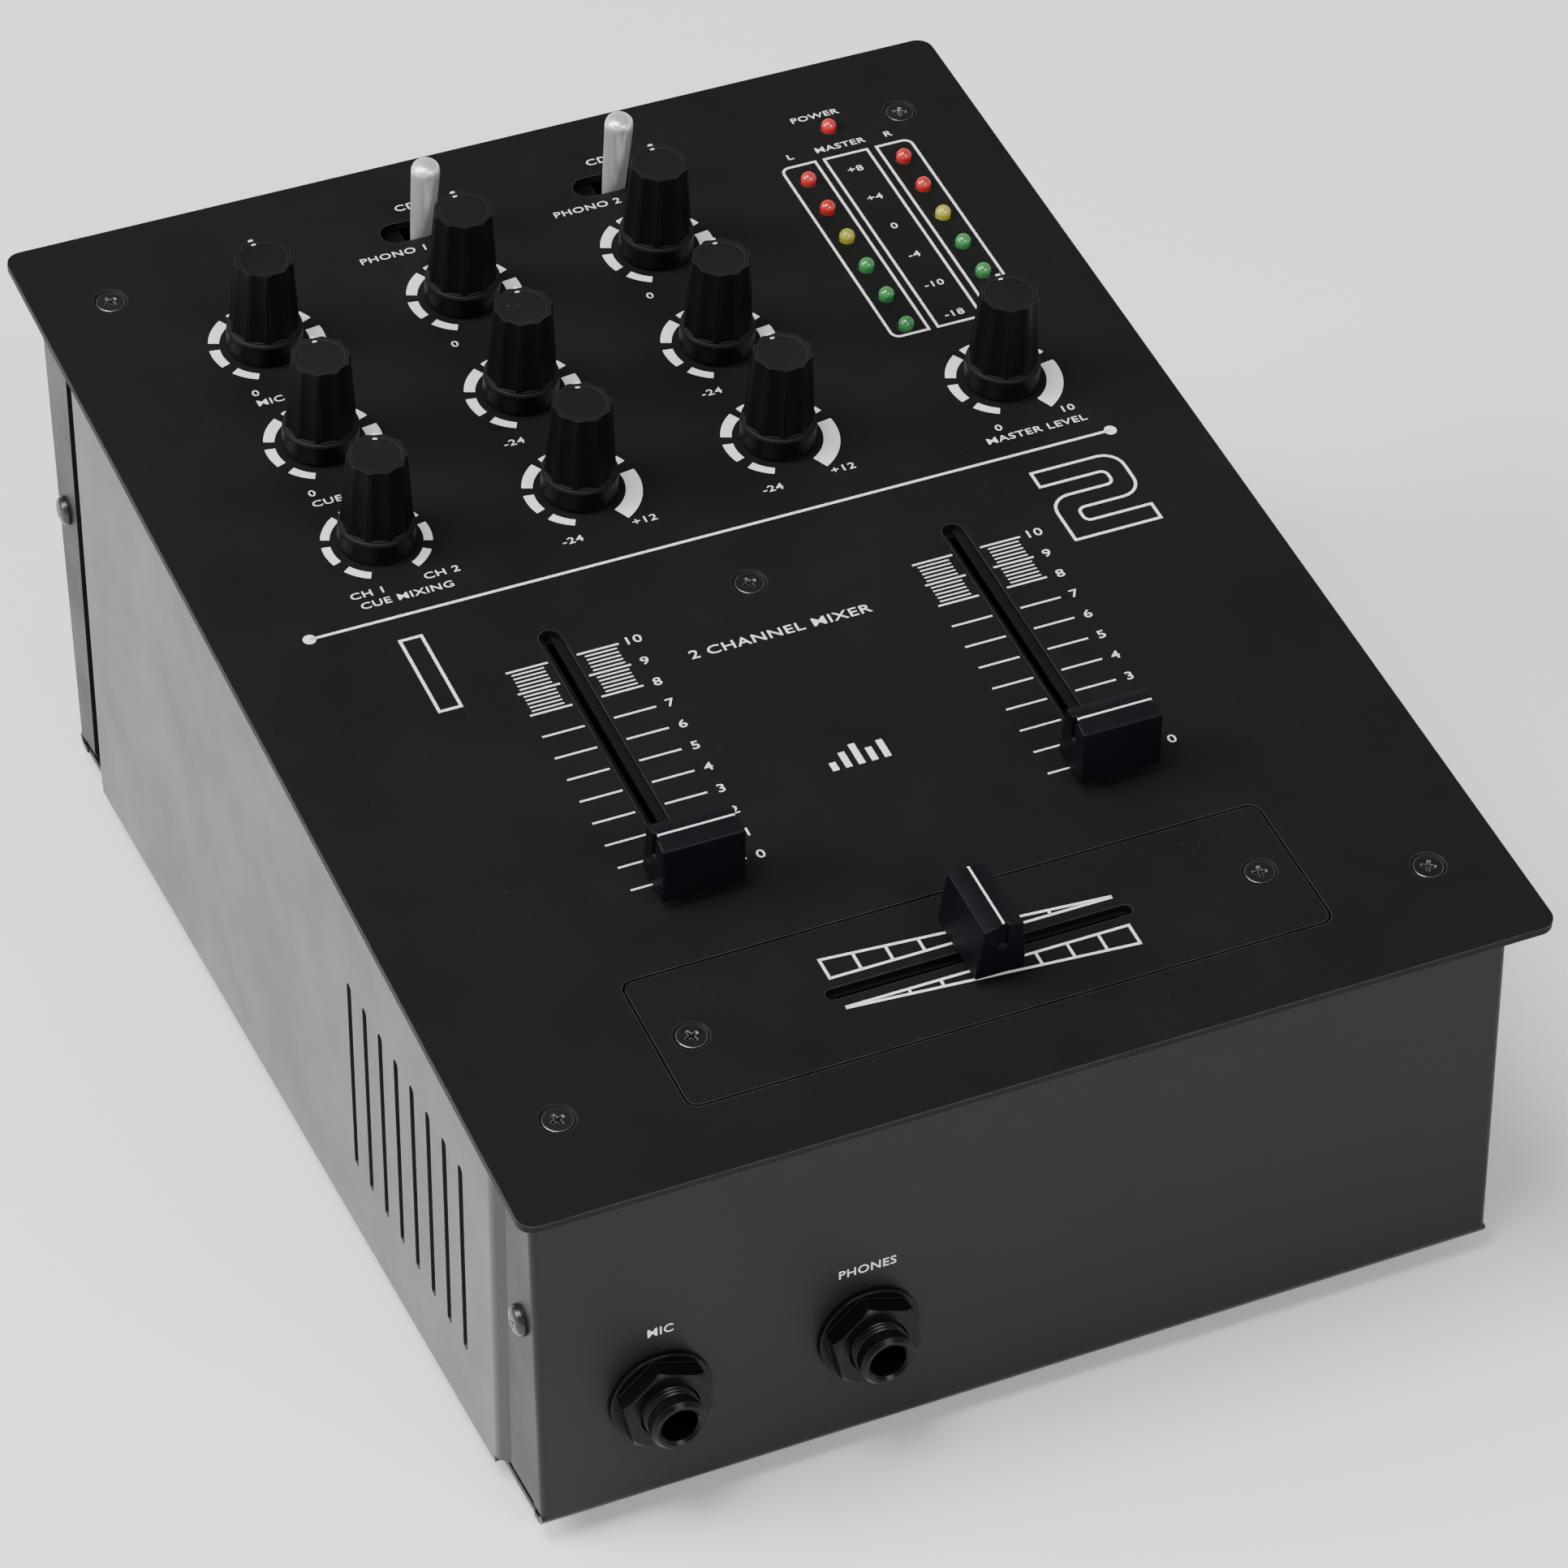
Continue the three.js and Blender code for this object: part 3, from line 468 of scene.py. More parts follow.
def softened(piece, width, segments=2, angle=40):
    """Rounds every edge that turns by more than an angle."""
    return applied(piece, "BEVEL", width=width, segments=segments, limit_method="ANGLE",
                   angle_limit=math.radians(angle))


def complete(piece, name, axes, material, body="root", stands_for=(), smooth=35):
    """Puts a finished piece in its place, names and shades it, and ties it to the frame."""
    placed(piece, turn=axes)
    piece.name = name
    piece.data.name = name
    piece.data.materials.clear()
    piece.data.materials.append(material)
    bpy.ops.object.shade_smooth_by_angle(angle=math.radians(smooth))
    applied(piece, "WEIGHTED_NORMAL", keep_sharp=True)
    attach(piece, body)
    if stands_for:
        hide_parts(*stands_for)
    bpy.ops.object.select_all(action="DESELECT")
    return piece


def leaning(y, z):
    return y - LEAN * (z - LEAN_FROM)


def folded_pan():
    """The bottom's face, with walls and flanges extruded from its edges and then thickened."""
    bpy.ops.mesh.primitive_plane_add(size=1, location=(0, (PAN_FRONT + PAN_REAR) / 2, 0))
    pan = bpy.context.object
    pan.scale = (2 * PAN_HALF, PAN_REAR - PAN_FRONT, 1)
    bpy.ops.object.transform_apply(location=True, rotation=True, scale=True)
    walls = ((PAN_FRONT, under_plate(PAN_FRONT), FLANGE),
             (PAN_REAR, under_plate(PAN_REAR - SHEET), -FLANGE))
    for wall, top, _ in walls:
        choose(pan, "EDGE", lambda x, y, z: near(y, wall))
        extruded(z=top)
        choose(pan, "EDGE", lambda x, y, z: near(y, wall) and near(z, 0))
        bpy.ops.mesh.bevel(offset=PAN_BEND, segments=6)
        bpy.ops.object.mode_set(mode="OBJECT")
    for wall, top, flange in walls:
        for side in (-PAN_HALF, PAN_HALF):
            choose(pan, "EDGE", lambda x, y, z: near(x, side) and near(y, wall) and z > 2.6)
            extruded(y=flange)
            choose(pan, "VERT", lambda x, y, z: near(x, side) and near(y, wall + flange))
            bpy.ops.transform.translate(value=(0, leaning(0, 3), 0))
            choose(pan, "VERT", lambda x, y, z: near(x, side) and z > 40
                   and near(y, wall + flange + leaning(0, 3)))
            bpy.ops.transform.translate(value=(0, leaning(0, top) - leaning(0, 3), 0))
            choose(pan, "EDGE", lambda x, y, z: near(x, side) and near(y, wall) and z > 2.6)
            bpy.ops.mesh.bevel(offset=1.4, segments=4)
            bpy.ops.object.mode_set(mode="OBJECT")
    bpy.ops.object.mode_set(mode="EDIT")
    bpy.ops.mesh.select_all(action="SELECT")
    bpy.ops.mesh.normals_make_consistent(inside=False)
    bpy.ops.object.mode_set(mode="OBJECT")
    return applied(pan, "SOLIDIFY", thickness=SHEET, offset=-1, use_even_offset=True)


def plate_lip(side, near_end, far_end):
    """A lip folded in under the top plate, which one of the plate's screws goes into."""
    top = -PLATE_THICK - GAP - 0.05
    low, high = sorted((side * 68, side * 84.8))
    return placed(block((low, near_end, top - SHEET), (high, far_end, top)), turn=IN_DECK)


def rear_openings():
    half = SOCKET_PITCH / 2
    places = [(x + i * half, SOCKET_Z + j * half, SOCKET_RADIUS + GAP)
              for x in SOCKET_X.values() for i in (-1, 1) for j in (-1, 1)]
    places += [(*INLET, 4.3), (*GROUND, 2.4)]
    openings = [placed(rod(radius, -4, 4), x, PAN_REAR, z, TO_REAR) for x, z, radius in places]
    x, z = ROCKER
    return openings + [block((x - 6.9, PAN_REAR - 4, z - 9.9), (x + 6.9, PAN_REAR + 1, z + 9.9))]


def chassis_pan():
    pan = folded_pan()
    front = [placed(rod(JACK_BARREL + GAP, -4, 4), x, PAN_FRONT, JACK_Z, TO_FRONT)
             for x in JACK_X.values()]
    # Beside the bottom, the side panels' lower edges stand in a recess as deep as their sheet.
    beside = [block((side * 88.9 - 1.1, PAN_FRONT + 4, -1), (side * 88.9 + 1.1, PAN_REAR - 4, 3.2))
              for side in (-1, 1)]
    cut(pan, front + rear_openings() + beside)
    softened(pan, 0.2, 2, 60)
    lips = []
    for side in (-1, 1):
        lips.append(plate_lip(side, PAN_FRONT + 1.5, 28))
        lips.append(plate_lip(side, 224, PAN_REAR / math.cos(SLOPE) - 2))
    return joined([pan] + lips)


CASE_PAINT = coated("case_paint", ((0.006, 0.006, 0.006), (0.009, 0.009, 0.009)), (0.36, 0.46),
                    grain=1800, bump=0.12, highlight_and_wear=0.25, highlight_and_wear_tone=(0.14, 0.14, 0.14), ior=1.27)
complete(chassis_pan(), "folded_chassis_pan", CASE, CASE_PAINT,
         stands_for=["chassis_pan"])

# ---------------------------------------------------------------------------------------------
# Side panels. Flat 1.2 mm sheets, stepped in at both ends so that a tab goes behind each flange
# of the pan, with eight punched vent slots near the front. Satin charcoal paint.
# ---------------------------------------------------------------------------------------------
PANEL_OUTER = 89.3
PANEL_TAB = 9.5
JOGGLE = 2.8
FRONT_SEAM = 0.8
REAR_SEAM = 3.8
PANEL_FRONT = PAN_FRONT + FLANGE + FRONT_SEAM
PANEL_REAR = PAN_REAR - FLANGE - REAR_SEAM
TAB_LOW = 1.6
VENTS = 8
VENT_PITCH = 7.3
VENT_FIRST = 37.6
VENT_WIDTH = 2
VENT_LOW = 15.8
VENT_HIGH = 57.6
SIDE_SCREWS = {"front": (14.5, 42), "rear": (239, 58)}


def oblong(radius, reach, low, high, segments=32):
    """A slot-shaped prism: a rod pulled apart across its middle, by its reach each way."""
    prism = rod(radius, low, high, segments)
    for way in (-1, 1):
        choose(prism, "VERT", lambda x, y, z: way * y > 0.001)
        bpy.ops.transform.translate(value=(0, way * reach, 0))
    choose(prism, "VERT", lambda x, y, z: abs(y) <= 0.001)
    bpy.ops.transform.translate(value=(0, reach, 0))
    bpy.ops.object.mode_set(mode="OBJECT")
    return prism


def stepped_sheet():
    """The right-hand panel's face, with a joggle and a tab extruded from each end."""
    middle = (PANEL_FRONT + PANEL_REAR) / 2
    bpy.ops.mesh.primitive_plane_add(size=1)
    sheet = placed(bpy.context.object, turn=Matrix.Rotation(math.pi / 2, 4, "Y"))
    half = (PANEL_REAR - PANEL_FRONT) / 2 - JOGGLE
    sheet.scale = (1, 2 * half, 120)
    sheet.location = (PANEL_OUTER, middle, 60)
    bpy.ops.object.transform_apply(location=True, rotation=True, scale=True)
    step = PANEL_OUTER - (PAN_HALF - SHEET - GAP)
    for way, tab in ((-1, PANEL_TAB), (1, PANEL_TAB + REAR_SEAM - FRONT_SEAM)):
        edge = middle + way * half
        choose(sheet, "EDGE", lambda x, y, z: near(y, edge))
        extruded(x=-step, y=way * JOGGLE)
        extruded(y=way * tab)
        for fold in (edge, edge + way * JOGGLE):
            choose(sheet, "EDGE", lambda x, y, z: near(y, fold))
            bpy.ops.mesh.bevel(offset=0.9, segments=3)
    for at_top in (0, 120):
        choose(sheet, "VERT", lambda x, y, z: near(z, at_top))
        bpy.ops.transform.translate(value=(0, leaning(0, at_top), 0))
    bpy.ops.mesh.select_all(action="SELECT")
    bpy.ops.mesh.bisect(plane_co=(0, 0, under_plate(0) - 0.5), clear_outer=True,
                        plane_no=(0, -math.sin(SLOPE), math.cos(SLOPE)))
    bpy.ops.object.mode_set(mode="OBJECT")
    return sheet


def side_panel(side):
    panel = stepped_sheet()
    applied(panel, "SOLIDIFY", thickness=SHEET, offset=-1, use_even_offset=True)
    half = (VENT_HIGH - VENT_LOW) / 2
    cutters = []
    for i in range(VENTS):
        slot = oblong(VENT_WIDTH / 2, half - VENT_WIDTH / 2, 80, 95, 16)
        spin = Matrix.Rotation(math.atan(LEAN), 4, "X")
        placed(slot, turn=Matrix.Rotation(math.pi / 2, 4, "X") @ TO_RIGHT)
        cutters.append(placed(slot, 0, VENT_FIRST + i * VENT_PITCH, VENT_LOW + half, spin))
    # The tabs stop just above the pan's bottom; between them the sheet reaches down beside it.
    low = PAN_FRONT + SHEET + 0.4
    high = PAN_REAR - SHEET - 0.4
    step_front = leaning(PANEL_FRONT + JOGGLE + 1, 0)
    step_rear = leaning(PANEL_REAR - JOGGLE - 1, 0)
    cutters.append(block((80, -9, -1), (95, step_front, TAB_LOW)))
    cutters.append(block((80, step_rear, -1), (95, 260, TAB_LOW)))
    cut(panel, cutters)
    cut(panel, [block((80, -9, -1), (95, low + 2, TAB_LOW + 1.6)),
                block((80, high - 2, -1), (95, 260, TAB_LOW + 1.6))])
    cut(panel, [block((80, -9, -1), (95, low, 120)), block((80, high, -1), (95, 260, 120))])
    # Only the face comes up close to the plate; the tabs stop short, clear of the pan's lips.
    face_front = leaning(PANEL_FRONT + JOGGLE + 1, under_plate(PANEL_FRONT))
    face_rear = leaning(PANEL_REAR - JOGGLE - 1, under_plate(PANEL_REAR))
    cut(panel, [block((80, -9, under_plate(face_front) - 3.5), (95, face_front, 130)),
                block((80, face_rear, under_plate(face_rear) - 3), (95, 260, 130))])
    softened(panel, 0.25, 2, 50)
    if side < 0:
        applied(panel, "MIRROR", use_axis=(True, False, False))
        choose(panel, "VERT", lambda x, y, z: x > 0)
        bpy.ops.mesh.delete(type="VERT")
        bpy.ops.object.mode_set(mode="OBJECT")
    return panel


PANEL_PAINT = coated("panel_paint", ((0.020, 0.020, 0.021), (0.030, 0.030, 0.031)), (0.30, 0.38),
                     grain=1600, bump=0.15, highlight_and_wear=0.15, highlight_and_wear_tone=(0.35, 0.35, 0.35), ior=1.45)
for name, side in (("left", -1), ("right", 1)):
    complete(side_panel(side), f"{name}_vented_panel", CASE, PANEL_PAINT,
             stands_for=[f"{name}_side_panel"])

# ---------------------------------------------------------------------------------------------
# Feet. Moulded rubber pads with a recess for the screw that holds each one to the bottom.
# ---------------------------------------------------------------------------------------------
FOOT_HEIGHT = 4
FOOT_RADIUS = 8
FEET = {"front_left": (-70, 28), "front_right": (70, 28),
        "rear_left": (-70, 225), "rear_right": (70, 225)}


def rubber_foot():
    foot = turned([(FOOT_RADIUS - 0.6, -FOOT_HEIGHT), (FOOT_RADIUS, -0.05)], 48)
    foot = cut(foot, [turned([(3.4, -FOOT_HEIGHT - 1), (3.2, -1.6)], 32)])
    return softened(foot, 0.7, 3, 50)


def foot_screw():
    screw = turned([(1.2, -1.55), (2.6, -1.55), (2.6, -2.2), (1.8, -2.9)], 24)
    cut(screw, [block((-1.4, -0.3, -4), (1.4, 0.3, -2.3))])
    return softened(screw, 0.15)


RUBBER = coated("foot_rubber", ((0.012, 0.012, 0.013), (0.02, 0.02, 0.021)), (0.75, 0.9),
                grain=900, bump=0.25, highlight_and_wear=0.3, highlight_and_wear_tone=(0.06, 0.06, 0.06), dust=0.1)
ZINC = coated("zinc_plate", ((0.40, 0.41, 0.43), (0.52, 0.53, 0.54)), (0.25, 0.42), grain=700,
              bump=0.08, highlight_and_wear=0.1, highlight_and_wear_tone=(0.7, 0.7, 0.7), metallic=1.0)
for name, (x, y) in FEET.items():
    complete(placed(rubber_foot(), x, y), f"{name}_rubber_foot", CASE, RUBBER,
             stands_for=[f"{name}_foot"])
    complete(placed(foot_screw(), x, y), f"{name}_foot_screw", CASE, ZINC)

# ---------------------------------------------------------------------------------------------
# Top plate. Flat 1.5 mm steel in matte black powder coat, with a hole for every control, a
# window for the crossfader's own plate and countersinks for five screws.
# ---------------------------------------------------------------------------------------------
PLATE_HALF = 92.5
PLATE_LENGTH = 252.2
PLATE_CORNER = 3
KNOB_HOLE = 4
KNOB_ROWS = (156.8, 184.2, 212.6)
KNOB_COLUMNS = {
    -56.5: ("cue_mixing", "cue_level", "mic_level"),
    -18.4: ("channel_1_bass", "channel_1_treble", "channel_1_gain"),
    19.7: ("channel_2_bass", "channel_2_treble", "channel_2_gain"),
}
KNOBS = {name: (u, v) for u, names in KNOB_COLUMNS.items() for name, v in zip(names, KNOB_ROWS)}
KNOBS["master_level"] = (63.9, 157.2)
TOGGLES = {"channel_1": (-18.4, 233.2), "channel_2": (19.7, 233.2)}
FADERS = {"channel_1": -37.6, "channel_2": 38.6}
FADER_START = 60.6
FADER_TRAVEL = 60
CROSS_V = 29
CROSS_HALF = 57.8
CROSS_DEPTH = 29
CROSS_SCREW_U = 51.4
PLATE_SCREWS = {"front_left": (-78.4, 20), "front_right": (78.4, 20), "centre": (0, 124),
                "rear_left": (-78.4, 233.5), "rear_right": (78.4, 233.5)}
LAMP_RADIUS = 1.5
LAMP_ROWS = [176.4 + 8.8 * i for i in range(6)]
LAMP_COLOURS = ("green", "green", "green", "yellow", "red", "red")
LAMPS = {f"{side}_meter_lamp_{i + 1}": (u, v, LAMP_COLOURS[i])
         for side, u in (("left", 53.8), ("right", 73.3)) for i, v in enumerate(LAMP_ROWS)}
LAMPS["power_lamp"] = (63.7, 233.4, "red")


def rounded_slab(half_width, low_v, high_v, radius, low=-PLATE_THICK, high=0, segments=6):
    """A flat slab whose four upright corners are rounded."""
    slab = block((-half_width, low_v, low), (half_width, high_v, high))
    for u in (-half_width, half_width):
        for v in (low_v, high_v):
            choose(slab, "EDGE", lambda x, y, z: near(x, u) and near(y, v))
            bpy.ops.mesh.bevel(offset=radius, segments=segments)
            bpy.ops.object.mode_set(mode="OBJECT")
    return slab


def countersink(u, v):
    return placed(turned([(1.8, -3), (1.8, -1.35), (3.45, 0.3)]), u, v)


def top_plate():
    plate = rounded_slab(PLATE_HALF, 0, PLATE_LENGTH, PLATE_CORNER)
    cutters = [placed(rod(KNOB_HOLE, -3, 1), u, v) for u, v in KNOBS.values()]
    cutters += [placed(rod(LAMP_RADIUS + 0.2, -3, 1, 24), u, v) for u, v, _ in LAMPS.values()]
    cutters += [countersink(u, v) for u, v in PLATE_SCREWS.values()]
    cutters += [placed(oblong(2, 31.7, -3, 1), u, FADER_START + FADER_TRAVEL / 2 + 0.9)
                for u in FADERS.values()]
    across = Matrix.Rotation(math.pi / 2, 4, "Z")
    cutters += [placed(oblong(2.75, 5.05, -3, 1), u, v, 0, across) for u, v in TOGGLES.values()]
    window = CROSS_DEPTH / 2 + GAP
    cutters.append(rounded_slab(CROSS_HALF + GAP, CROSS_V - window, CROSS_V + window, 2.3, -3, 1))
    cut(plate, cutters)
    return softened(plate, 0.22, 2, 40)


# The pale edge colour here is partly handling wear and partly a painted highlight along the plates'
# edges and round their holes.
PLATE_PAINT = coated("plate_paint", ((0.0045, 0.0048, 0.0045), (0.0062, 0.0066, 0.0062)),
                     (0.50, 0.62), grain=2200, bump=0.22, highlight_and_wear=0.4, highlight_and_wear_tone=(0.15, 0.15, 0.15),
                     dust=0.004, ior=1.19)
complete(top_plate(), "powder_coated_top_plate", DECK, PLATE_PAINT,
         stands_for=["top_plate"])

# ---------------------------------------------------------------------------------------------
# Crossfader plate. The same sheet and finish, flush in its window, held by two screws; its slot
# is narrow. The steel bracket below it stays as it is, zinc plated.
# ---------------------------------------------------------------------------------------------
def crossfader_plate():
    edge = CROSS_DEPTH / 2
    plate = rounded_slab(CROSS_HALF - 0.1, CROSS_V - edge + 0.1, CROSS_V + edge - 0.1, 2)
    slot = placed(oblong(1.2, 26.5, -3, 1, 24), 0, CROSS_V, 0, Matrix.Rotation(math.pi / 2, 4, "Z"))
    cut(plate, [countersink(side * CROSS_SCREW_U, CROSS_V) for side in (-1, 1)] + [slot])
    return softened(plate, 0.3, 2, 40)


complete(crossfader_plate(), "powder_coated_crossfader_plate", DECK, PLATE_PAINT,
         stands_for=["crossfader_plate"])


def recoat(node, material):
    """Gives a CAD piece that keeps its shape a finish of its own."""
    piece = frame["nodes"][node]
    piece.data.materials.clear()
    piece.data.materials.append(material)


recoat("crossfader_bracket", ZINC)
recoat("centre_pillar", ZINC)

# ---------------------------------------------------------------------------------------------
# Printing on the top plate. One pass of white screen ink, 0.03 mm thick: rings and numbers around
# the knobs, the faders' scales, the meter's frame, the channel numbers and plain ornaments.
# ---------------------------------------------------------------------------------------------
INK = 0.03
LINE = 0.5
SCALE_LINE = 0.38
FINE_LINE = 0.3


def bar(u0, v0, u1, v1):
    """A flat printed rectangle between two corners."""
    bpy.ops.mesh.primitive_plane_add(size=1)
    piece = bpy.context.object
    piece.scale = (abs(u1 - u0), abs(v1 - v0), 1)
    piece.location = ((u0 + u1) / 2, (v0 + v1) / 2, 0)
    bpy.ops.object.transform_apply(location=True, rotation=True, scale=True)
    return piece


def ruled(u0, v0, u1, v1, width):
    """A flat printed line from one point to another."""
    length = math.hypot(u1 - u0, v1 - v0)
    line = bar(0, -width / 2, length, width / 2)
    return placed(line, u0, v0, 0, Matrix.Rotation(math.atan2(v1 - v0, u1 - u0), 4, "Z"))


def dot(u, v, radius):
    bpy.ops.mesh.primitive_circle_add(vertices=32, radius=radius, fill_type="NGON")
    return placed(bpy.context.object, u, v)


def framed(piece, width=LINE):
    """Leaves only a flat shape's border."""
    only(piece)
    bpy.ops.object.mode_set(mode="EDIT")
    bpy.ops.mesh.select_mode(type="FACE")
    bpy.ops.mesh.select_all(action="SELECT")
    bpy.ops.mesh.inset(thickness=width, use_even_offset=True)
    bpy.ops.mesh.delete(type="FACE")
    bpy.ops.object.mode_set(mode="OBJECT")
    return piece


def rounded_corner(piece, u, v, radius):
    choose(piece, "VERT", lambda x, y, z: near(x, u) and near(y, v))
    bpy.ops.mesh.bevel(offset=radius, segments=6, affect="VERTICES")
    bpy.ops.object.mode_set(mode="OBJECT")
    return piece


def ring_part(start, end, inner, outer_start, outer_end):
    """Part of a ring between two angles in degrees, which may widen along its way."""
    steps = max(3, round((end - start) / 5))
    part = bar(inner, 0, outer_start, 0.02)
    choose(part, "EDGE", lambda x, y, z: y > 0.01)
    bpy.ops.mesh.spin(steps=steps, angle=math.radians(start - end), axis=(0, 0, 1))
    bpy.ops.object.mode_set(mode="OBJECT")
    for vertex in part.data.vertices:
        reach = math.hypot(vertex.co.x, vertex.co.y)
        if reach > (inner + outer_start) / 2:
            share = math.atan2(abs(vertex.co.y), vertex.co.x) / math.radians(end - start)
            vertex.co *= (outer_start + (outer_end - outer_start) * share) / reach
    return placed(part, turn=Matrix.Rotation(math.radians(start), 4, "Z"))


def lettering(text, u, v, height, stretch=1.3, weight=0.005, align="CENTER"):
    """Flat printed characters, wide and heavy, with their middle or start at a place."""
    bpy.ops.object.text_add()
    letters = bpy.context.object
    letters.data.body = text
    letters.data.align_x = align
    letters.data.align_y = "CENTER"
    letters.data.offset = weight
    letters.data.resolution_u = 3
    letters.data.space_character = 1.08
    bpy.ops.object.convert(target="MESH")
    cap_height = 0.73  # of the built-in face, in units of its size
    letters.scale = (stretch * height / cap_height, height / cap_height, 1)
    letters.location = (u, v, 0)
    bpy.ops.object.transform_apply(location=True, rotation=True, scale=True)
    return letters


RING_INNER = 8.2
RING_PARTS = [(214, 243), (171, 200), (122, 159), (68, 112), (21, 58), (-20, 9), (-63, -34)]


def knob_ring(u, v, outer_low, outer_high, closed):
    """Seven bars around a knob; on the widening rings the last two run together."""
    spans = RING_PARTS[:5] + [(-63, 7)] if closed else RING_PARTS
    lowest, highest = -63, 243
    parts = []
    for start, end in spans:
        width_at = [outer_high + (outer_low - outer_high) * (angle - lowest) / (highest - lowest)
                    for angle in (start, end)]
        parts.append(placed(ring_part(start, end, RING_INNER, *width_at), u, v))
    return parts


KNOB_LABELS = {
    "cue_mixing": ("CH 1", "CH 2", "CUE MIXING"),
    "cue_level": ("0", "10", "CUE LEVEL"),
    "mic_level": ("0", "10", "MIC LEVEL"),
    "channel_1_bass": ("-24", "+12", ""),
    "channel_1_treble": ("-24", "+12", ""),
    "channel_1_gain": ("0", "10", ""),
    "channel_2_bass": ("-24", "+12", ""),
    "channel_2_treble": ("-24", "+12", ""),
    "channel_2_gain": ("0", "10", ""),
    "master_level": ("0", "10", "MASTER LEVEL"),
}


def knob_scales():
    printed = []
    for name, (u, v) in KNOBS.items():
        low_mark, high_mark, label = KNOB_LABELS[name]
        if name == "cue_mixing":
            printed += knob_ring(u, v, 9.8, 9.8, closed=False)
        else:
            printed += knob_ring(u, v, 9.7, 11.4, closed=True)
        printed.append(lettering(low_mark, u - 6.2, v - 12.1, 1.6))
        printed.append(lettering(high_mark, u + 7.6, v - 11.6, 1.6))
        if label:
            printed.append(lettering(label, u, v - 14.9, 1.6))
    return printed


TICK_FIRST = 62.5
TICK_PITCH = 5.52
FINE_PITCH = 0.92


def fader_scale(u):
    """Ruled lines both sides of a slot with their numbers, and fine ones between the top three."""
    printed = []
    for mark in range(11):
        v = TICK_FIRST + mark * TICK_PITCH
        for side in (-1, 1):
            printed.append(bar(u + side * 2.7, v - SCALE_LINE / 2,
                               u + side * 10.4, v + SCALE_LINE / 2))
        printed.append(lettering(str(mark), u + 13, v, 1.9))
        if 8 <= mark < 10:
            for fine in range(1, 6):
                fine_v = v + fine * FINE_PITCH
                for side in (-1, 1):
                    printed.append(bar(u + side * 3.8, fine_v - FINE_LINE / 2,
                                       u + side * 9.7, fine_v + FINE_LINE / 2))
    return printed


METER_LOW = 173.9
METER_HIGH = 225.5


def meter_frame():
    """Two boxes around the lamps' columns and one between them for the numbers."""
    left = bar(50.1, METER_LOW, 57.6, METER_HIGH)
    right = bar(69.6, METER_LOW, 76.9, METER_HIGH)
    for v in (METER_LOW, METER_HIGH):
        rounded_corner(left, 50.1, v, 1.8)
        rounded_corner(right, 76.9, v, 1.8)
    printed = [framed(box) for box in (left, bar(58.9, METER_LOW, 68.2, METER_HIGH), right)]
    for v, mark in zip(LAMP_ROWS, ("-18", "-10", "-4", "0", "+4", "+8")):
        printed.append(lettering(mark, 63.5, v + 0.2, 1.6))
    printed.append(lettering("L", 53.4, METER_HIGH + 2.5, 1.5))
    printed.append(lettering("MASTER", 63.6, METER_HIGH + 2.5, 1.5))
    printed.append(lettering("R", 73.4, METER_HIGH + 2.5, 1.5))
    printed.append(lettering("POWER", 62.6, 237.6, 1.5))
    return printed


def channel_one():
    """A plain upright stroke, in outline."""
    return framed(bar(-62.2, 112.8, -57.7, 131.9), 0.55)


def channel_two():
    """A squared figure two, in outline: a stroke that turns twice, extruded leg by leg."""
    left, right, low, high, stroke = 57.6, 74.8, 113.2, 132.3, 4.4
    rise = (high - low - 3 * stroke) / 2
    figure = bar(left, high - stroke, right - stroke, high)
    choose(figure, "EDGE", lambda x, y, z: near(x, right - stroke))
    extruded(x=stroke)
    corner = high - stroke
    for step in (-rise, -stroke):
        choose(figure, "EDGE", lambda x, y, z: near(y, corner) and x > right - stroke - 0.01)
        extruded(y=step)
        corner += step
    choose(figure, "EDGE", lambda x, y, z: near(x, right - stroke) and y < corner + stroke + 0.01
           and y > corner - 0.01)
    extruded(x=-(right - left - 2 * stroke))
    extruded(x=-stroke)
    choose(figure, "EDGE", lambda x, y, z: near(y, corner) and x < left + stroke + 0.01)
    for step in (-rise, -stroke):
        extruded(y=step)
    choose(figure, "EDGE", lambda x, y, z: near(x, left + stroke) and y < low + stroke + 0.01)
    extruded(x=right - left - stroke)
    bpy.ops.mesh.select_all(action="SELECT")
    bpy.ops.mesh.remove_doubles(threshold=0.001)
    bpy.ops.mesh.dissolve_limited(angle_limit=0.01)
    bpy.ops.object.mode_set(mode="OBJECT")
    middle = low + stroke + rise  # the lower edge of the middle bar
    for u, v, radius in ((right, high, 4), (right, middle, 4), (left, middle + stroke, 4),
                         (right - stroke, high - stroke, 1),
                         (right - stroke, middle + stroke, 1),
                         (left + stroke, middle, 1), (left + stroke, low + stroke, 1)):
        rounded_corner(figure, u, v, radius)
    return framed(figure, 0.55)


def divider():
    line_v = 137.5
    return [bar(-76.2, line_v - 0.27, 76.2, line_v + 0.27), dot(-76.2, line_v, 1.15),
            dot(76.2, line_v, 1.15)]


def level_bars(u, v, shares):
    """A row of plain square-ended level bars, standing on one line, with nothing round them."""
    width, height = 1.2, 5
    pitch = 2 * width
    return [bar(u + i * pitch, v, u + i * pitch + width, v + height * share)
            for i, share in enumerate(shares)]


def ornaments():
    """A short row of level bars between the faders, and plain letters that say what it is."""
    printed = level_bars(-5.4, 76, (0.4, 0.75, 1, 0.65, 0.85))
    printed.append(lettering("2 CHANNEL MIXER", 0, 110.5, 2.1))
    return printed


def switch_labels():
    printed = []
    for number, (u, v) in zip((1, 2), TOGGLES.values()):
        printed.append(lettering("CD", u - 0.5, v + 6.4, 1.7))
        printed.append(lettering(f"PHONO {number}", u - 7.4, v - 5.6, 1.6))
    return printed


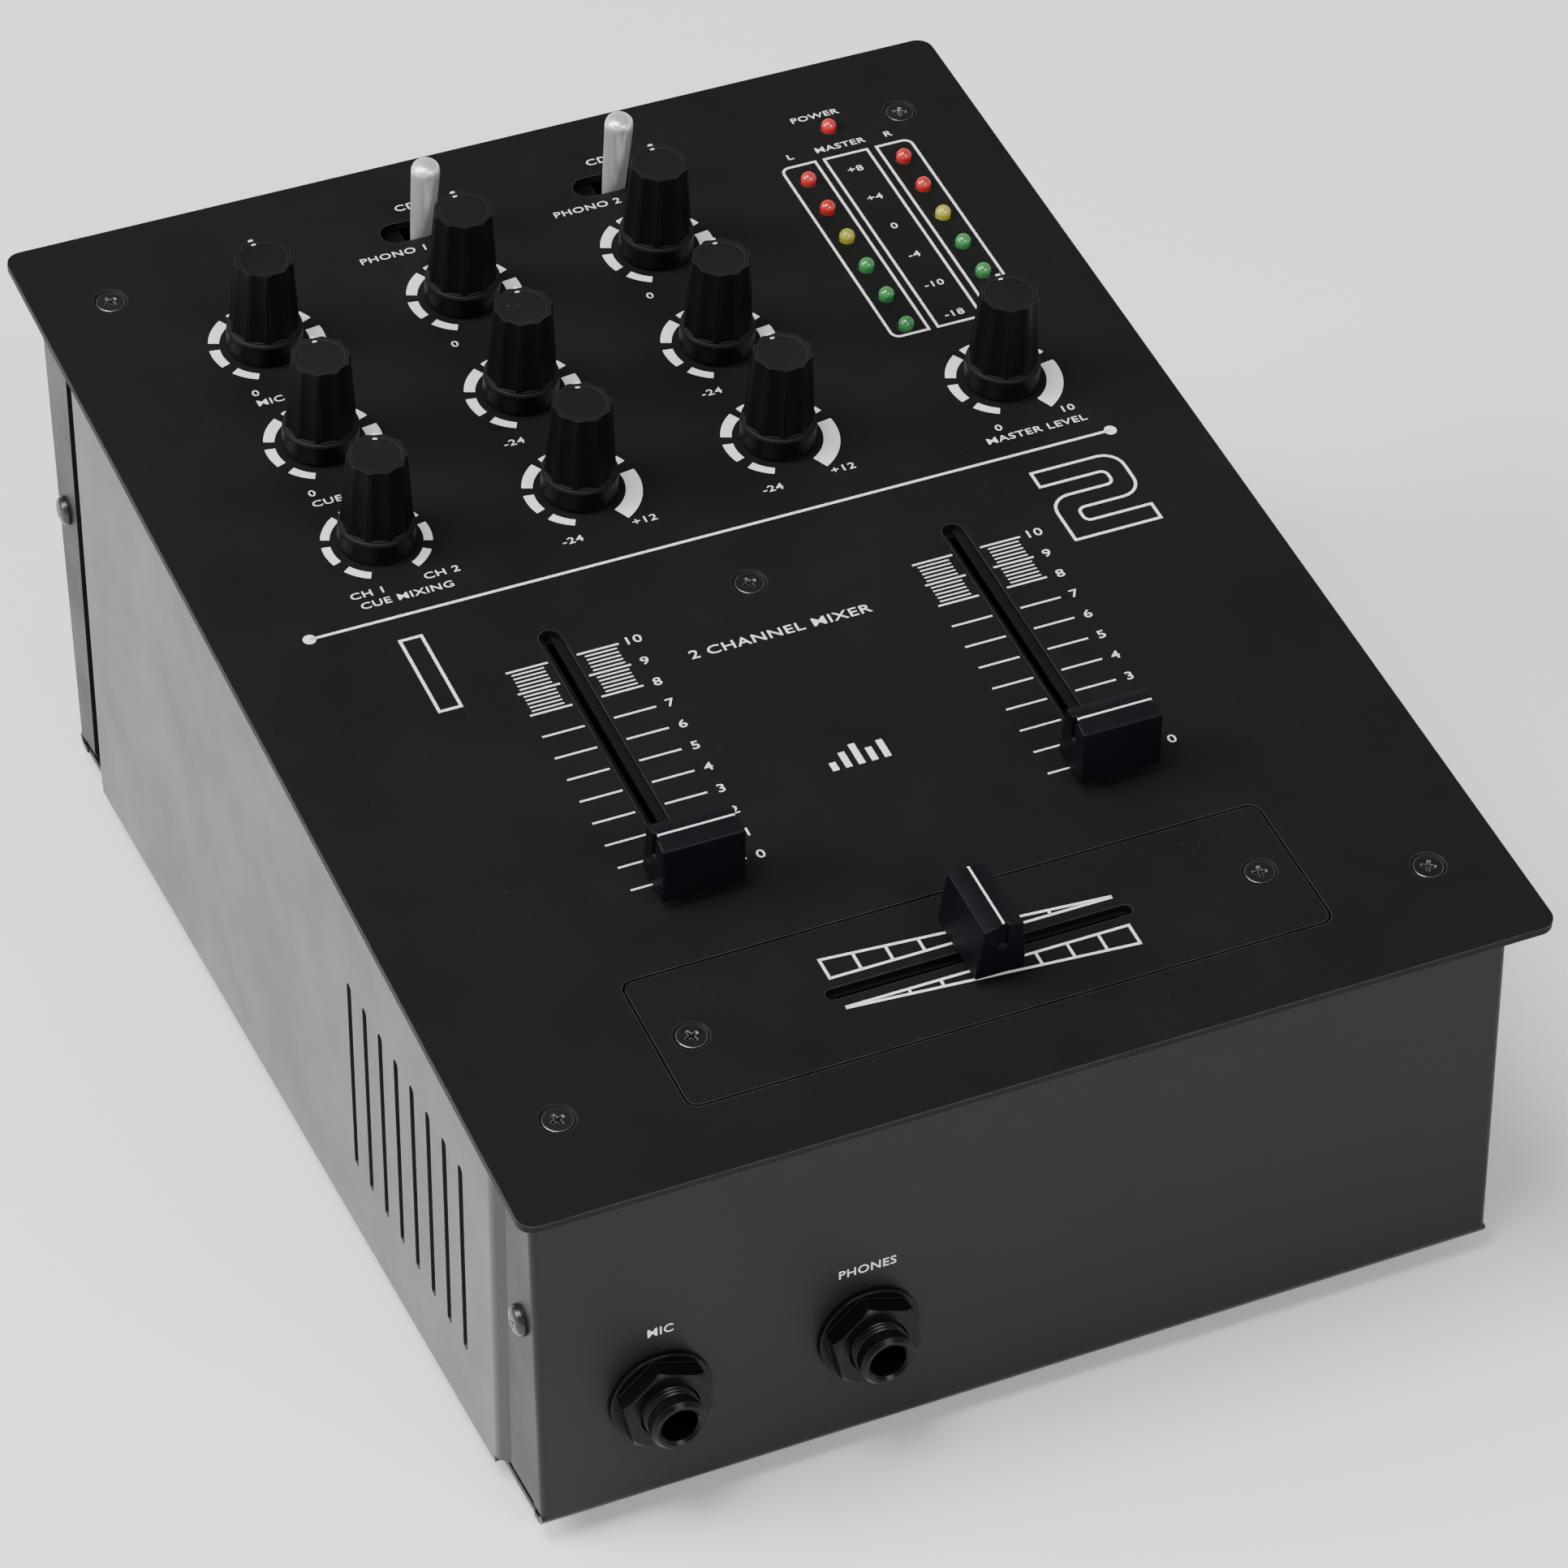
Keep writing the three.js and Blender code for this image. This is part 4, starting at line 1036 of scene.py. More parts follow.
def inked(printed):
    """Gives flat printing its thickness and lays it on the surface."""
    print_mesh = joined(printed)
    only(print_mesh)
    bpy.ops.object.mode_set(mode="EDIT")
    bpy.ops.mesh.select_all(action="SELECT")
    bpy.ops.mesh.remove_doubles(threshold=0.0005)
    bpy.ops.mesh.normals_make_consistent(inside=False)
    bpy.ops.object.mode_set(mode="OBJECT")
    applied(print_mesh, "SOLIDIFY", thickness=INK, offset=0)
    return placed(print_mesh, z=INK / 2 + 0.005)


WHITE_INK = coated("white_ink", ((0.70, 0.70, 0.69), (0.80, 0.80, 0.79)), (0.45, 0.6), grain=1500,
                   bump=0.05, highlight_and_wear=0, dust=0)
plate_printing = knob_scales() + meter_frame() + divider() + ornaments() + switch_labels()
plate_printing += [channel_one(), channel_two()]
for column in FADERS.values():
    plate_printing += fader_scale(column)
complete(inked(plate_printing), "top_plate_printing", DECK, WHITE_INK)

WEDGE_HALF = 25.7
WEDGE_PITCH = 5.7


def wedge(turn_over):
    """A ruled wedge, thick at one end and drawn to a point, divided into steps."""
    low, thick = 3.4, 4.4  # from the slot's middle to the base line, and the wedge's thick end
    parts = [ruled(-WEDGE_HALF, low, WEDGE_HALF, low, LINE),
             ruled(-WEDGE_HALF, low + thick, WEDGE_HALF, low + 0.2, LINE)]
    for i in range(9):
        u = -WEDGE_HALF + LINE / 2 + i * WEDGE_PITCH
        height = thick * (WEDGE_HALF - u) / (2 * WEDGE_HALF)
        if height > 0.5:
            parts.append(bar(u - LINE / 2, low, u + LINE / 2, low + height))
    piece = joined(parts)
    return placed(piece, 0, CROSS_V, 0, Matrix.Rotation(math.pi if turn_over else 0, 4, "Z"))


complete(inked([wedge(False), wedge(True)]), "crossfader_plate_printing", DECK, WHITE_INK)

# ---------------------------------------------------------------------------------------------
# Screws. M3 countersunk screws, black oxide, sit in the plates' countersinks, and pan heads of
# the same finish pin the pan's flanges to the side panels. All have a Phillips recess.
# ---------------------------------------------------------------------------------------------
def phillips(top, reach, deep):
    """Two crossed wedges that taper down, as the driver's tip does."""
    cross = []
    for turn in (0, math.pi / 2):
        arm = block((-reach, -0.3, top - deep), (reach, 0.3, top + 0.5))
        choose(arm, "FACE", lambda x, y, z: z < top)
        bpy.ops.transform.resize(value=(0.45, 0.55, 1), center_override=(0, 0, 0))
        bpy.ops.object.mode_set(mode="OBJECT")
        cross.append(placed(arm, turn=Matrix.Rotation(turn, 4, "Z")))
    return cut(cross[0], [cross[1]], "UNION")


def countersunk_screw(length):
    screw = turned([(1.5, -length), (1.5, -1.5), (2.62, -0.42), (2.62, -0.25), (2.2, -0.16)], 40)
    cut(screw, [phillips(-0.2, 1.55, 1.1)])
    return softened(screw, 0.07, 2, 35)


def pan_head_screw():
    seat = PAN_HALF + 0.05
    screw = turned([(1.5, seat - 8), (1.5, seat), (2.8, seat), (2.8, seat + 0.5),
                    (2.55, seat + 1.05), (2.0, seat + 1.4), (1.2, seat + 1.58)], 40)
    cut(screw, [phillips(seat + 1.6, 1.5, 1.1)])
    return softened(screw, 0.07, 2, 50)


# The near-white edge colour at full strength is mostly a painted highlight on the screws' rims and
# round their recesses, with some real wear.
BLACK_OXIDE = coated("black_oxide", ((0.030, 0.030, 0.031), (0.055, 0.055, 0.056)), (0.2, 0.3),
                     grain=1300, bump=0.08, highlight_and_wear=1.0, highlight_and_wear_tone=(0.75, 0.74, 0.72), dust=0.01,
                     metallic=0.85)
for name, (u, v) in PLATE_SCREWS.items():
    driven = Matrix.Rotation(math.radians(37 * u + 11 * v), 4, "Z")
    complete(placed(countersunk_screw(8), u, v, 0, driven), f"{name}_countersunk_screw", DECK,
             BLACK_OXIDE, stands_for=[f"{name}_plate_screw"])
for name, side in (("left", -1), ("right", 1)):
    driven = Matrix.Rotation(math.radians(50 + 30 * side), 4, "Z")
    screw = placed(countersunk_screw(7), side * CROSS_SCREW_U, CROSS_V, 0, driven)
    complete(screw, f"crossfader_{name}_countersunk_screw", DECK, BLACK_OXIDE,
             stands_for=[f"crossfader_{name}_screw"])
    for end, (y, z) in SIDE_SCREWS.items():
        screw = placed(pan_head_screw(), turn=Matrix.Rotation(math.radians(20 + y), 4, "Z"))
        placed(screw, 0, y, z, TO_RIGHT if side > 0 else TO_LEFT)
        complete(screw, f"{name}_{end}_pan_head_screw", CASE, BLACK_OXIDE,
                 stands_for=[f"{name}_{end}_side_screw"])

# ---------------------------------------------------------------------------------------------
# Knobs. Moulded matte black caps with a plain skirt and ten hollow flutes, pushed onto steel
# shafts, each with a white pointer rib that stands out at the rear.
# ---------------------------------------------------------------------------------------------
KNOB_BASE = 0.8
SKIRT_TOP = 4.9
KNOB_TOP = 20.15
SKIRT_RADIUS = 6.85
GRIP_LOW = 6.4
GRIP_HIGH = 5.3
FLUTES = 10
KNOB_TURNS = {"cue_mixing": 17, "cue_level": 7, "mic_level": -5, "channel_1_bass": 12,
              "channel_1_treble": 8, "channel_1_gain": 0, "channel_2_bass": -3,
              "channel_2_treble": 8, "channel_2_gain": 5, "master_level": 3}


def flute_cutters():
    """Leaning rods that hollow the grip between its ridges, from just above the skirt up."""
    radius, depth = 5.6, 0.42
    taper = math.atan2(GRIP_LOW - GRIP_HIGH, KNOB_TOP - SKIRT_TOP)
    cutters = []
    for i in range(FLUTES):
        cutter = rod(radius, 0, 20, 64)
        placed(cutter, GRIP_LOW - depth + radius, 0, SKIRT_TOP + 0.9,
               Matrix.Rotation(-taper, 4, "Y"))
        cutters.append(placed(cutter, turn=Matrix.Rotation((i + 0.5) * 2 * math.pi / FLUTES, 4, "Z")))
    return cutters


def fluted_knob():
    knob = turned([(SKIRT_RADIUS, KNOB_BASE), (SKIRT_RADIUS, SKIRT_TOP - 0.35),
                   (SKIRT_RADIUS - 0.2, SKIRT_TOP), (GRIP_LOW - 0.1, SKIRT_TOP + 0.15),
                   (GRIP_LOW, SKIRT_TOP + 0.5), (GRIP_HIGH, KNOB_TOP)], 80)
    for cutter in flute_cutters():
        cut(knob, [cutter])
    recess = rod(GRIP_HIGH - 1, KNOB_TOP - 0.15, KNOB_TOP + 1, 60)
    cut(knob, [recess, rod(3.05, 0, 15, 32)])
    return softened(knob, 0.1, 2, 28)


def pointer_rib():
    rib = block((-0.42, 3.9, 9), (0.42, 5.62, KNOB_TOP - 0.1))
    return softened(rib, 0.1)


def steel_shaft():
    return softened(turned([(2.6, -12), (3, -11.5), (3, 14.9)], 32), 0.1)


def knob_plastic():
    """Matte plastic with fine spark texture, faint moulding swirls and greased ridges."""
    return coated("knob_plastic", ((0.0016, 0.0016, 0.0018), (0.0030, 0.0030, 0.0033)),
                  (0.46, 0.6), grain=3200, bump=0.22, highlight_and_wear=0.55, highlight_and_wear_tone=(0.05, 0.05, 0.05),
                  dust=0.03, ior=1.2)


def duplicated(piece):
    """A copy of a piece, with its own mesh."""
    copy = piece.copy()
    copy.data = piece.data.copy()
    bpy.context.collection.objects.link(copy)
    return copy


KNOB_PLASTIC = knob_plastic()
POINTER_WHITE = coated("pointer_white", ((0.62, 0.62, 0.60), (0.72, 0.72, 0.70)), (0.4, 0.5),
                       highlight_and_wear=0.1, highlight_and_wear_tone=(0.4, 0.4, 0.4), dust=0)
knob_pieces = (
    (fluted_knob(), "fluted_knob", KNOB_PLASTIC, "knob_plastic"),
    (pointer_rib(), "pointer", POINTER_WHITE, "white_print"),
    (steel_shaft(), "shaft", ZINC, "plated_steel"),
)
for name, (u, v) in KNOBS.items():
    turn = Matrix.Rotation(-math.radians(KNOB_TURNS[name]), 4, "Z")
    for model, kind, material, slot in knob_pieces:
        complete(placed(duplicated(model), u, v, 0, turn), f"{name}_{kind}", DECK, material,
                 body=f"{name}_control", stands_for=[f"{name}_knob"] if kind == "fluted_knob" else ())
for model, *_ in knob_pieces:
    bpy.data.objects.remove(model)

# ---------------------------------------------------------------------------------------------
# Lamps. Thirteen 3 mm domes of tinted resin stand in the top plate on the meter's green board:
# three green, one yellow and two red in each column, and a red one for the power.
# ---------------------------------------------------------------------------------------------
METER_TOP = -6.2
BOARD_THICK = 1.6


def lamp_dome():
    rings = [(LAMP_RADIUS, METER_TOP), (LAMP_RADIUS, 0.5)]
    for step in range(1, 7):
        angle = step * math.pi / 12.6
        rings.append((LAMP_RADIUS * math.cos(angle), 0.5 + 1.5 * math.sin(angle)))
    return turned(rings, 24)


def lens_finish(name, deep, lit):
    """Tinted resin, glossy outside, with a milky diffusing mottle inside."""
    material, shader, place = new_material(name)
    tree = material.node_tree
    surface = use_group(tree, SURFACE_GRAIN, place, Grain_Scale=900)
    colour = blended(tree, surface.outputs["Mottle"], deep, lit)
    tree.links.new(colour, shader.inputs["Base Color"])
    gloss = ranged(tree, surface.outputs["Mottle"], 0.08, 0.16)
    tree.links.new(gloss, shader.inputs["Roughness"])
    shader.inputs["Coat Weight"].default_value = 0.6
    shader.inputs["Coat Roughness"].default_value = 0.06
    shader.inputs["Subsurface Weight"].default_value = 0.15
    shader.inputs["Subsurface Radius"].default_value = (0.001, 0.001, 0.001)
    return material


LENSES = {
    "red": lens_finish("red_lens", (0.20, 0.008, 0.010), (0.62, 0.03, 0.03)),
    "yellow": lens_finish("yellow_lens", (0.16, 0.15, 0.012), (0.42, 0.40, 0.05)),
    "green": lens_finish("green_lens", (0.012, 0.09, 0.022), (0.05, 0.27, 0.08)),
}
dome = lamp_dome()
for name, (u, v, colour) in LAMPS.items():
    complete(placed(duplicated(dome), u, v), name, DECK, LENSES[colour])
bpy.data.objects.remove(dome)


def circuit_board_finish():
    """Green solder mask with copper tracks that shine through, and a pale tan colour along its edges.
    """
    material, shader, place = new_material("circuit_board")
    tree = material.node_tree
    surface = use_group(tree, SURFACE_GRAIN, place, Grain_Scale=1500)
    tracks = tree.nodes.new("ShaderNodeTexBrick")
    tracks.inputs["Scale"].default_value = 160
    tracks.inputs["Mortar Size"].default_value = 0.06
    tracks.inputs["Color1"].default_value = (0.016, 0.085, 0.035, 1)
    tracks.inputs["Color2"].default_value = (0.022, 0.11, 0.045, 1)
    tracks.inputs["Mortar"].default_value = (0.05, 0.17, 0.06, 1)
    tree.links.new(place, tracks.inputs["Vector"])
    edge_highlight_and_wear = use_group(tree, EDGE_LIGHT_AND_WEAR, place, Amount=0.6)
    colour = blended(tree, edge_highlight_and_wear.outputs["Mask"], tracks.outputs["Color"], (0.30, 0.27, 0.16))
    tree.links.new(colour, shader.inputs["Base Color"])
    tree.links.new(ranged(tree, surface.outputs["Mottle"], 0.25, 0.45),
                   shader.inputs["Roughness"])
    bumped(tree, shader, tracks.outputs["Fac"], 0.3)
    return material


def meter_board():
    board = block((48.5, 172, METER_TOP - BOARD_THICK), (78.5, 239, METER_TOP - 0.05))
    cut(board, [placed(rod(4.2, -12, 0), *PLATE_SCREWS["rear_right"])])
    return softened(board, 0.1)


CIRCUIT_BOARD = circuit_board_finish()
complete(meter_board(), "meter_lamp_board", DECK, CIRCUIT_BOARD,
         stands_for=["meter_board"])
recoat("control_board", CIRCUIT_BOARD)
recoat("rear_board", CIRCUIT_BOARD)

# ---------------------------------------------------------------------------------------------
# Input switches. Satin nickel bat levers, turned with a rounded end, lean to the front out of
# oblong holes; each pivots in a black nylon case under the plate.
# ---------------------------------------------------------------------------------------------
PIVOT_DEPTH = -6
LEVER_LEAN = 0.098


def bat_lever():
    lever = turned([(1.2, -2.3), (2, -2), (2.5, -1.1), (2.7, 0), (2.5, 1.1), (2, 2), (2.2, 6),
                    (2.65, 20.6), (2.6, 21.4), (2.4, 22.05), (2, 22.55), (1.4, 22.85),
                    (0.6, 22.98)], 48)
    return softened(lever, 0.1, 2, 22)


def bright_nickel():
    """Satin plate with the lathe's fine rings left in it and faint cloudy handling marks."""
    material, shader, place = new_material("bright_nickel")
    tree = material.node_tree
    surface = use_group(tree, SURFACE_GRAIN, place, Grain_Scale=600)
    rings = tree.nodes.new("ShaderNodeTexWave")
    rings.wave_type = "BANDS"
    rings.bands_direction = "Z"
    rings.inputs["Scale"].default_value = 900
    rings.inputs["Distortion"].default_value = 0.6
    tree.links.new(place, rings.inputs["Vector"])
    colour = blended(tree, surface.outputs["Mottle"], (0.80, 0.80, 0.80), (0.90, 0.90, 0.89))
    tree.links.new(colour, shader.inputs["Base Color"])
    tree.links.new(ranged(tree, surface.outputs["Mottle"], 0.30, 0.42),
                   shader.inputs["Roughness"])
    shader.inputs["Metallic"].default_value = 0.75
    bumped(tree, shader, rings.outputs["Fac"], 0.05)
    return material


BRIGHT_NICKEL = bright_nickel()
NYLON = coated("black_nylon", ((0.002, 0.002, 0.0022), (0.004, 0.004, 0.0043)), (0.22, 0.34),
               grain=1100, bump=0.1, highlight_and_wear=0.5, highlight_and_wear_tone=(0.05, 0.05, 0.05), dust=0.008, ior=1.22)
for name, (u, v) in TOGGLES.items():
    lever = placed(bat_lever(), u, v, PIVOT_DEPTH, Matrix.Rotation(LEVER_LEAN, 4, "X"))
    complete(lever, f"{name}_bat_lever", DECK, BRIGHT_NICKEL,
             body=f"{name}_switch", stands_for=[f"{name}_switch_lever"])
    recoat(f"{name}_switch_case", NYLON)

# ---------------------------------------------------------------------------------------------
# Faders. Blue-black moulded caps, hollow underneath, with a white line and a notch at each end of
# it, ride on steel levers over black felt strips that keep dust out of the plated cases; the felt
# and the cases' near-black colour paint the shade seen down the slots.
# ---------------------------------------------------------------------------------------------
CAP_HALF = 7.4
CAP_LOW = 2
CAP_TOP = 13.4


def fader_cap():
    """An end face, drawn on a disc with as many corners as its outline, is extruded across."""
    profile = [(-4.5, CAP_LOW), (4.5, CAP_LOW), (4.35, 4.6), (3.5, 12.7), (1.8, 13.25),
               (0, CAP_TOP), (-1.8, 13.25), (-3.5, 12.7), (-4.35, 4.6)]
    bpy.ops.mesh.primitive_circle_add(vertices=len(profile), fill_type="NGON")
    cap = bpy.context.object
    for vertex, (v, w) in zip(cap.data.vertices, profile):
        vertex.co = (-CAP_HALF, v, w)
    bpy.ops.object.mode_set(mode="EDIT")
    bpy.ops.mesh.select_all(action="SELECT")
    extruded(x=2 * CAP_HALF)
    bpy.ops.mesh.select_all(action="SELECT")
    bpy.ops.mesh.normals_make_consistent(inside=False)
    bpy.ops.object.mode_set(mode="OBJECT")
    socket = block((-0.9, -2.3, 1), (0.9, 2.3, 9.3))
    hollow = block((-6.4, -3.6, 1), (6.4, 3.6, 4.2))
    cut(cap, [cut(socket, [hollow], "UNION")])
    notch_middle = CAP_HALF + 0.2
    notches = [block((side * notch_middle - 0.8, -0.75, 8.4),
                     (side * notch_middle + 0.8, 0.75, CAP_TOP + 1)) for side in (-1, 1)]
    cut(cap, notches)
    return softened(cap, 0.3, 3, 20)


def cap_line():
    """The white line inlaid along the ridge, from notch to notch."""
    half = CAP_HALF - 0.55
    line = block((-half, -0.2, CAP_TOP - 0.3), (half, 0.2, CAP_TOP + 0.01))
    return softened(line, 0.03)


CAP_PLASTIC = coated("cap_plastic", ((0.0014, 0.0018, 0.0034), (0.0028, 0.0032, 0.0052)),
                     (0.4, 0.52), grain=2600, bump=0.15, highlight_and_wear=0.35, highlight_and_wear_tone=(0.02, 0.022, 0.03),
                     dust=0.01, ior=1.2)
# The fader cases' near-black colour is painted shade: it stands for the dark seen down the slots, not
# the zinc's own colour.
ZINC_WITH_PAINTED_SHADE = coated("zinc_with_painted_shade", ((0.010, 0.010, 0.010), (0.022, 0.022, 0.021)), (0.4, 0.55),
                   grain=700, bump=0.08, highlight_and_wear=0.3, highlight_and_wear_tone=(0.3, 0.3, 0.3), metallic=1.0)
FADER_PLACES = {f"{name}_fader": (u, FADER_START, 0) for name, u in FADERS.items()}
FADER_PLACES["crossfader"] = (0, CROSS_V, math.pi / 2)
cap_pieces = ((fader_cap(), "hollow_cap", CAP_PLASTIC, "cap_plastic"),
              (cap_line(), "cap_line", WHITE_INK, "white_print"))
for name, (u, v, turn) in FADER_PLACES.items():
    spin = Matrix.Rotation(turn, 4, "Z")
    for model, kind, material, slot in cap_pieces:
        complete(placed(duplicated(model), u, v, 0, spin), f"{name}_{kind}", DECK, material,
                 body=name, stands_for=[f"{name}_cap"] if kind == "hollow_cap" else ())
    recoat(f"{name}_carriage", ZINC)
    recoat(f"{name}_case", ZINC_WITH_PAINTED_SHADE)
for model, *_ in cap_pieces:
    bpy.data.objects.remove(model)


def felt_lip(side, reach, inner, outer):
    """One lip: its edge along the slit is rolled down."""
    low, high = sorted((side * inner, side * outer))
    lip = block((low, -reach, -1.78), (high, reach, -1.53))
    edge = side * inner
    choose(lip, "FACE", lambda x, y, z: near(x, edge))
    bpy.ops.transform.translate(value=(0, 0, -0.1))
    bpy.ops.object.mode_set(mode="OBJECT")
    return softened(lip, 0.05)


# The felt lips are dust strips, and their black also paints the shade seen down the slots.
FELT_WITH_PAINTED_SHADE = coated("dust_felt_with_painted_shade", ((0.002, 0.002, 0.002), (0.006, 0.006, 0.006)), (0.85, 0.95),
              grain=4000, bump=0.6, highlight_and_wear=0, dust=0.01, ior=1.2)
for name, (u, v, turn) in FADER_PLACES.items():
    middle_v = v + FADER_TRAVEL / 2 if turn == 0 else v
    reach, outer = (35.5, 3.6) if turn == 0 else (28.2, 3)
    lips = [felt_lip(side, reach, 0.62, outer) for side in (-1, 1)]
    strip = placed(joined(lips), u, middle_v, 0, Matrix.Rotation(turn, 4, "Z"))
    complete(strip, f"{name}_dust_strip_with_painted_shade", DECK, FELT_WITH_PAINTED_SHADE)

# ---------------------------------------------------------------------------------------------
# Front jacks. 6.35 mm sockets in black nylon: a threaded barrel through the panel, a square body
# behind it and a flanged hexagon nut, with the contact springs' pale glint down the bore.
# ---------------------------------------------------------------------------------------------
JACK_NOSE = 8.9
JACK_BORE = 3.25
THREAD_PITCH = 0.75
JACK_MIDDLE = {name: (x, 0, JACK_Z) for name, x in JACK_X.items()}


def threaded(radius, low, high, pitch=THREAD_PITCH, depth=0.22):
    """The rings of a threaded rod, from crest to root and back."""
    rings = [(radius - depth, low)]
    height = low
    while height + pitch < high:
        rings += [(radius, height + pitch * 0.25), (radius, height + pitch * 0.45),
                  (radius - depth, height + pitch * 0.7), (radius - depth, height + pitch)]
        height += pitch
    return rings + [(radius - depth, high)]


def jack_socket():
    """Its axis runs along Z here, with the case's front wall at PAN_FRONT below the nose."""
    inside = -(PAN_FRONT + SHEET + GAP)
    nose = JACK_NOSE - PAN_FRONT
    rings = [(JACK_BARREL, inside - 1), (JACK_BARREL, inside + 1.6)]
    rings += threaded(JACK_BARREL, inside + 1.6, nose - 2.2)
    rings += [(JACK_BARREL, nose - 2.0), (JACK_BARREL, nose - 0.7), (JACK_BARREL - 0.65, nose)]
    barrel = turned(rings, 40)
    body = block((-8, -7.5, inside - 22), (8, 7.5, inside))
    softened(body, 0.5, 2)
    cut(barrel, [body], "UNION")
    mouth = turned([(JACK_BORE, inside - 18), (JACK_BORE, nose - 0.5), (JACK_BORE + 0.8, nose + 0.3)],
                   40)
    return cut(barrel, [mouth])


def hexagon_nut():
    """A hexagon with its corners turned off, on a broad thin flange."""
    hexagon = rod(14.8 / math.sqrt(3), 1, 4.6, 6)
    placed(hexagon, turn=Matrix.Rotation(math.radians(11), 4, "Z"))
    cut(hexagon, [turned([(9, 0), (9, 3.6), (7.2, 4.9)], 48)], "INTERSECT")
    flange = turned([(9.1, 0.05), (9.1, 0.8), (8.9, 1.1)], 48)
    cut(hexagon, [flange], "UNION")
    cut(hexagon, [turned([(JACK_BARREL + 0.12, -1), (JACK_BARREL + 0.12, 4.2), (5.6, 5.2)], 40)])
    return softened(hexagon, 0.12, 2, 25)


def contact_spring():
    """A sprung tongue of nickel silver that bears on the plug, down one side of the bore."""
    tongue = block((-1, 2.3, -26), (1, 2.65, -14))
    choose(tongue, "FACE", lambda x, y, z: z > -14.1)
    extruded(y=-0.5, z=2.5)
    extruded(y=0.6, z=2)
    bpy.ops.object.mode_set(mode="OBJECT")
    return softened(tongue, 0.1)


for name, middle in JACK_MIDDLE.items():
    jack = placed(placed(jack_socket(), turn=TO_FRONT), *middle)
    complete(jack, f"{name}_jack_socket", CASE, NYLON, stands_for=[f"{name}_jack"])
    nut = placed(placed(hexagon_nut(), turn=TO_FRONT), middle[0], PAN_FRONT, middle[2])
    complete(nut, f"{name}_hexagon_nut", CASE, NYLON,
             stands_for=[f"{name}_jack_nut"])
    spring = placed(placed(contact_spring(), turn=TO_FRONT), *middle)
    complete(spring, f"{name}_contact_spring", CASE, BRIGHT_NICKEL)
front_labels = [lettering("MIC", JACK_X["mic"] + 0.4, 36.3, 1.75, 1.1),
                lettering("PHONES", JACK_X["phones"], 36.3, 1.75, 1.1)]
front_print = placed(inked(front_labels), 0, PAN_FRONT, 0, TO_FRONT)
complete(front_print, "front_printing", CASE, WHITE_INK)

# ---------------------------------------------------------------------------------------------
# Phono sockets. Three moulded blocks stand behind the rear wall, each with four plated barrels
# that come through it around white and red inserts: outputs, channel two and channel one.
# ---------------------------------------------------------------------------------------------
SOCKET_NOSE = 7.5
SOCKET_BORE = 1.7
REAR_INSIDE = PAN_REAR - SHEET - GAP


def socket_places(x):
    half = SOCKET_PITCH / 2
    return [(x + i * half, SOCKET_Z + j * half, i) for i in (-1, 1) for j in (-1, 1)]


def plated_barrel():
    barrel = turned([(SOCKET_RADIUS, -3), (SOCKET_RADIUS, 1.4), (SOCKET_RADIUS - 0.25, 1.6),
                     (SOCKET_RADIUS - 0.25, 1.9), (SOCKET_RADIUS, 2.1),
                     (SOCKET_RADIUS, SOCKET_NOSE - 0.4), (SOCKET_RADIUS - 0.35, SOCKET_NOSE)], 40)
    cut(barrel, [rod(3.35, -4, SOCKET_NOSE + 1, 40)])
    return softened(barrel, 0.08, 2, 30)


def coloured_insert():
    insert = turned([(3.3, -3), (3.3, SOCKET_NOSE - 1.0), (3.0, SOCKET_NOSE - 0.6)], 40)
    cut(insert, [turned([(SOCKET_BORE, -2.5), (SOCKET_BORE, 6.4), (2.1, 7.2)], 32)])
    return softened(insert, 0.08, 2, 30)


def socket_body():
    body = block((-14, REAR_INSIDE - 13, -14), (14, REAR_INSIDE, 14))
    return softened(body, 0.4, 2)


SOCKET_NICKEL = coated("socket_nickel", ((0.50, 0.48, 0.43), (0.62, 0.60, 0.55)), (0.18, 0.32),
                       grain=800, bump=0.05, highlight_and_wear=0.15, highlight_and_wear_tone=(0.7, 0.66, 0.58), metallic=1.0)
INSERTS = {
    -1: coated("white_insert", ((0.60, 0.60, 0.58), (0.70, 0.70, 0.68)), (0.3, 0.42), highlight_and_wear=0.05),
    1: coated("red_insert", ((0.36, 0.016, 0.016), (0.46, 0.024, 0.022)), (0.3, 0.42), highlight_and_wear=0.05,
              highlight_and_wear_tone=(0.6, 0.1, 0.1)),
}
barrel = plated_barrel()
insert = coloured_insert()
for name, middle in SOCKET_X.items():
    body = placed(socket_body(), middle, 0, SOCKET_Z)
    complete(body, f"{name}_socket_body", CASE, NYLON)
    places = socket_places(middle)
    barrels = [placed(placed(duplicated(barrel), turn=TO_REAR), x, PAN_REAR, z) for x, z, _ in places]
    complete(joined(barrels), f"{name}_socket_barrels", CASE, SOCKET_NICKEL,
             stands_for=[f"{name}_phono_sockets"])
    for side, colour in ((-1, "white"), (1, "red")):
        inserts = [placed(placed(duplicated(insert), turn=TO_REAR), x, PAN_REAR, z)
                   for x, z, column in places if column == side]
        complete(joined(inserts), f"{name}_{colour}_inserts", CASE, INSERTS[side])
for model in (barrel, insert):
    bpy.data.objects.remove(model)

# ---------------------------------------------------------------------------------------------
# Power entry. A rocker switch snapped into the rear wall, and below it the round inlet for the
# supply's plug, a black nylon shell with a bright centre pin.
# ---------------------------------------------------------------------------------------------
ROCKER_PIVOT = PAN_REAR - 0.6
ROCKER_TILT = 0.17


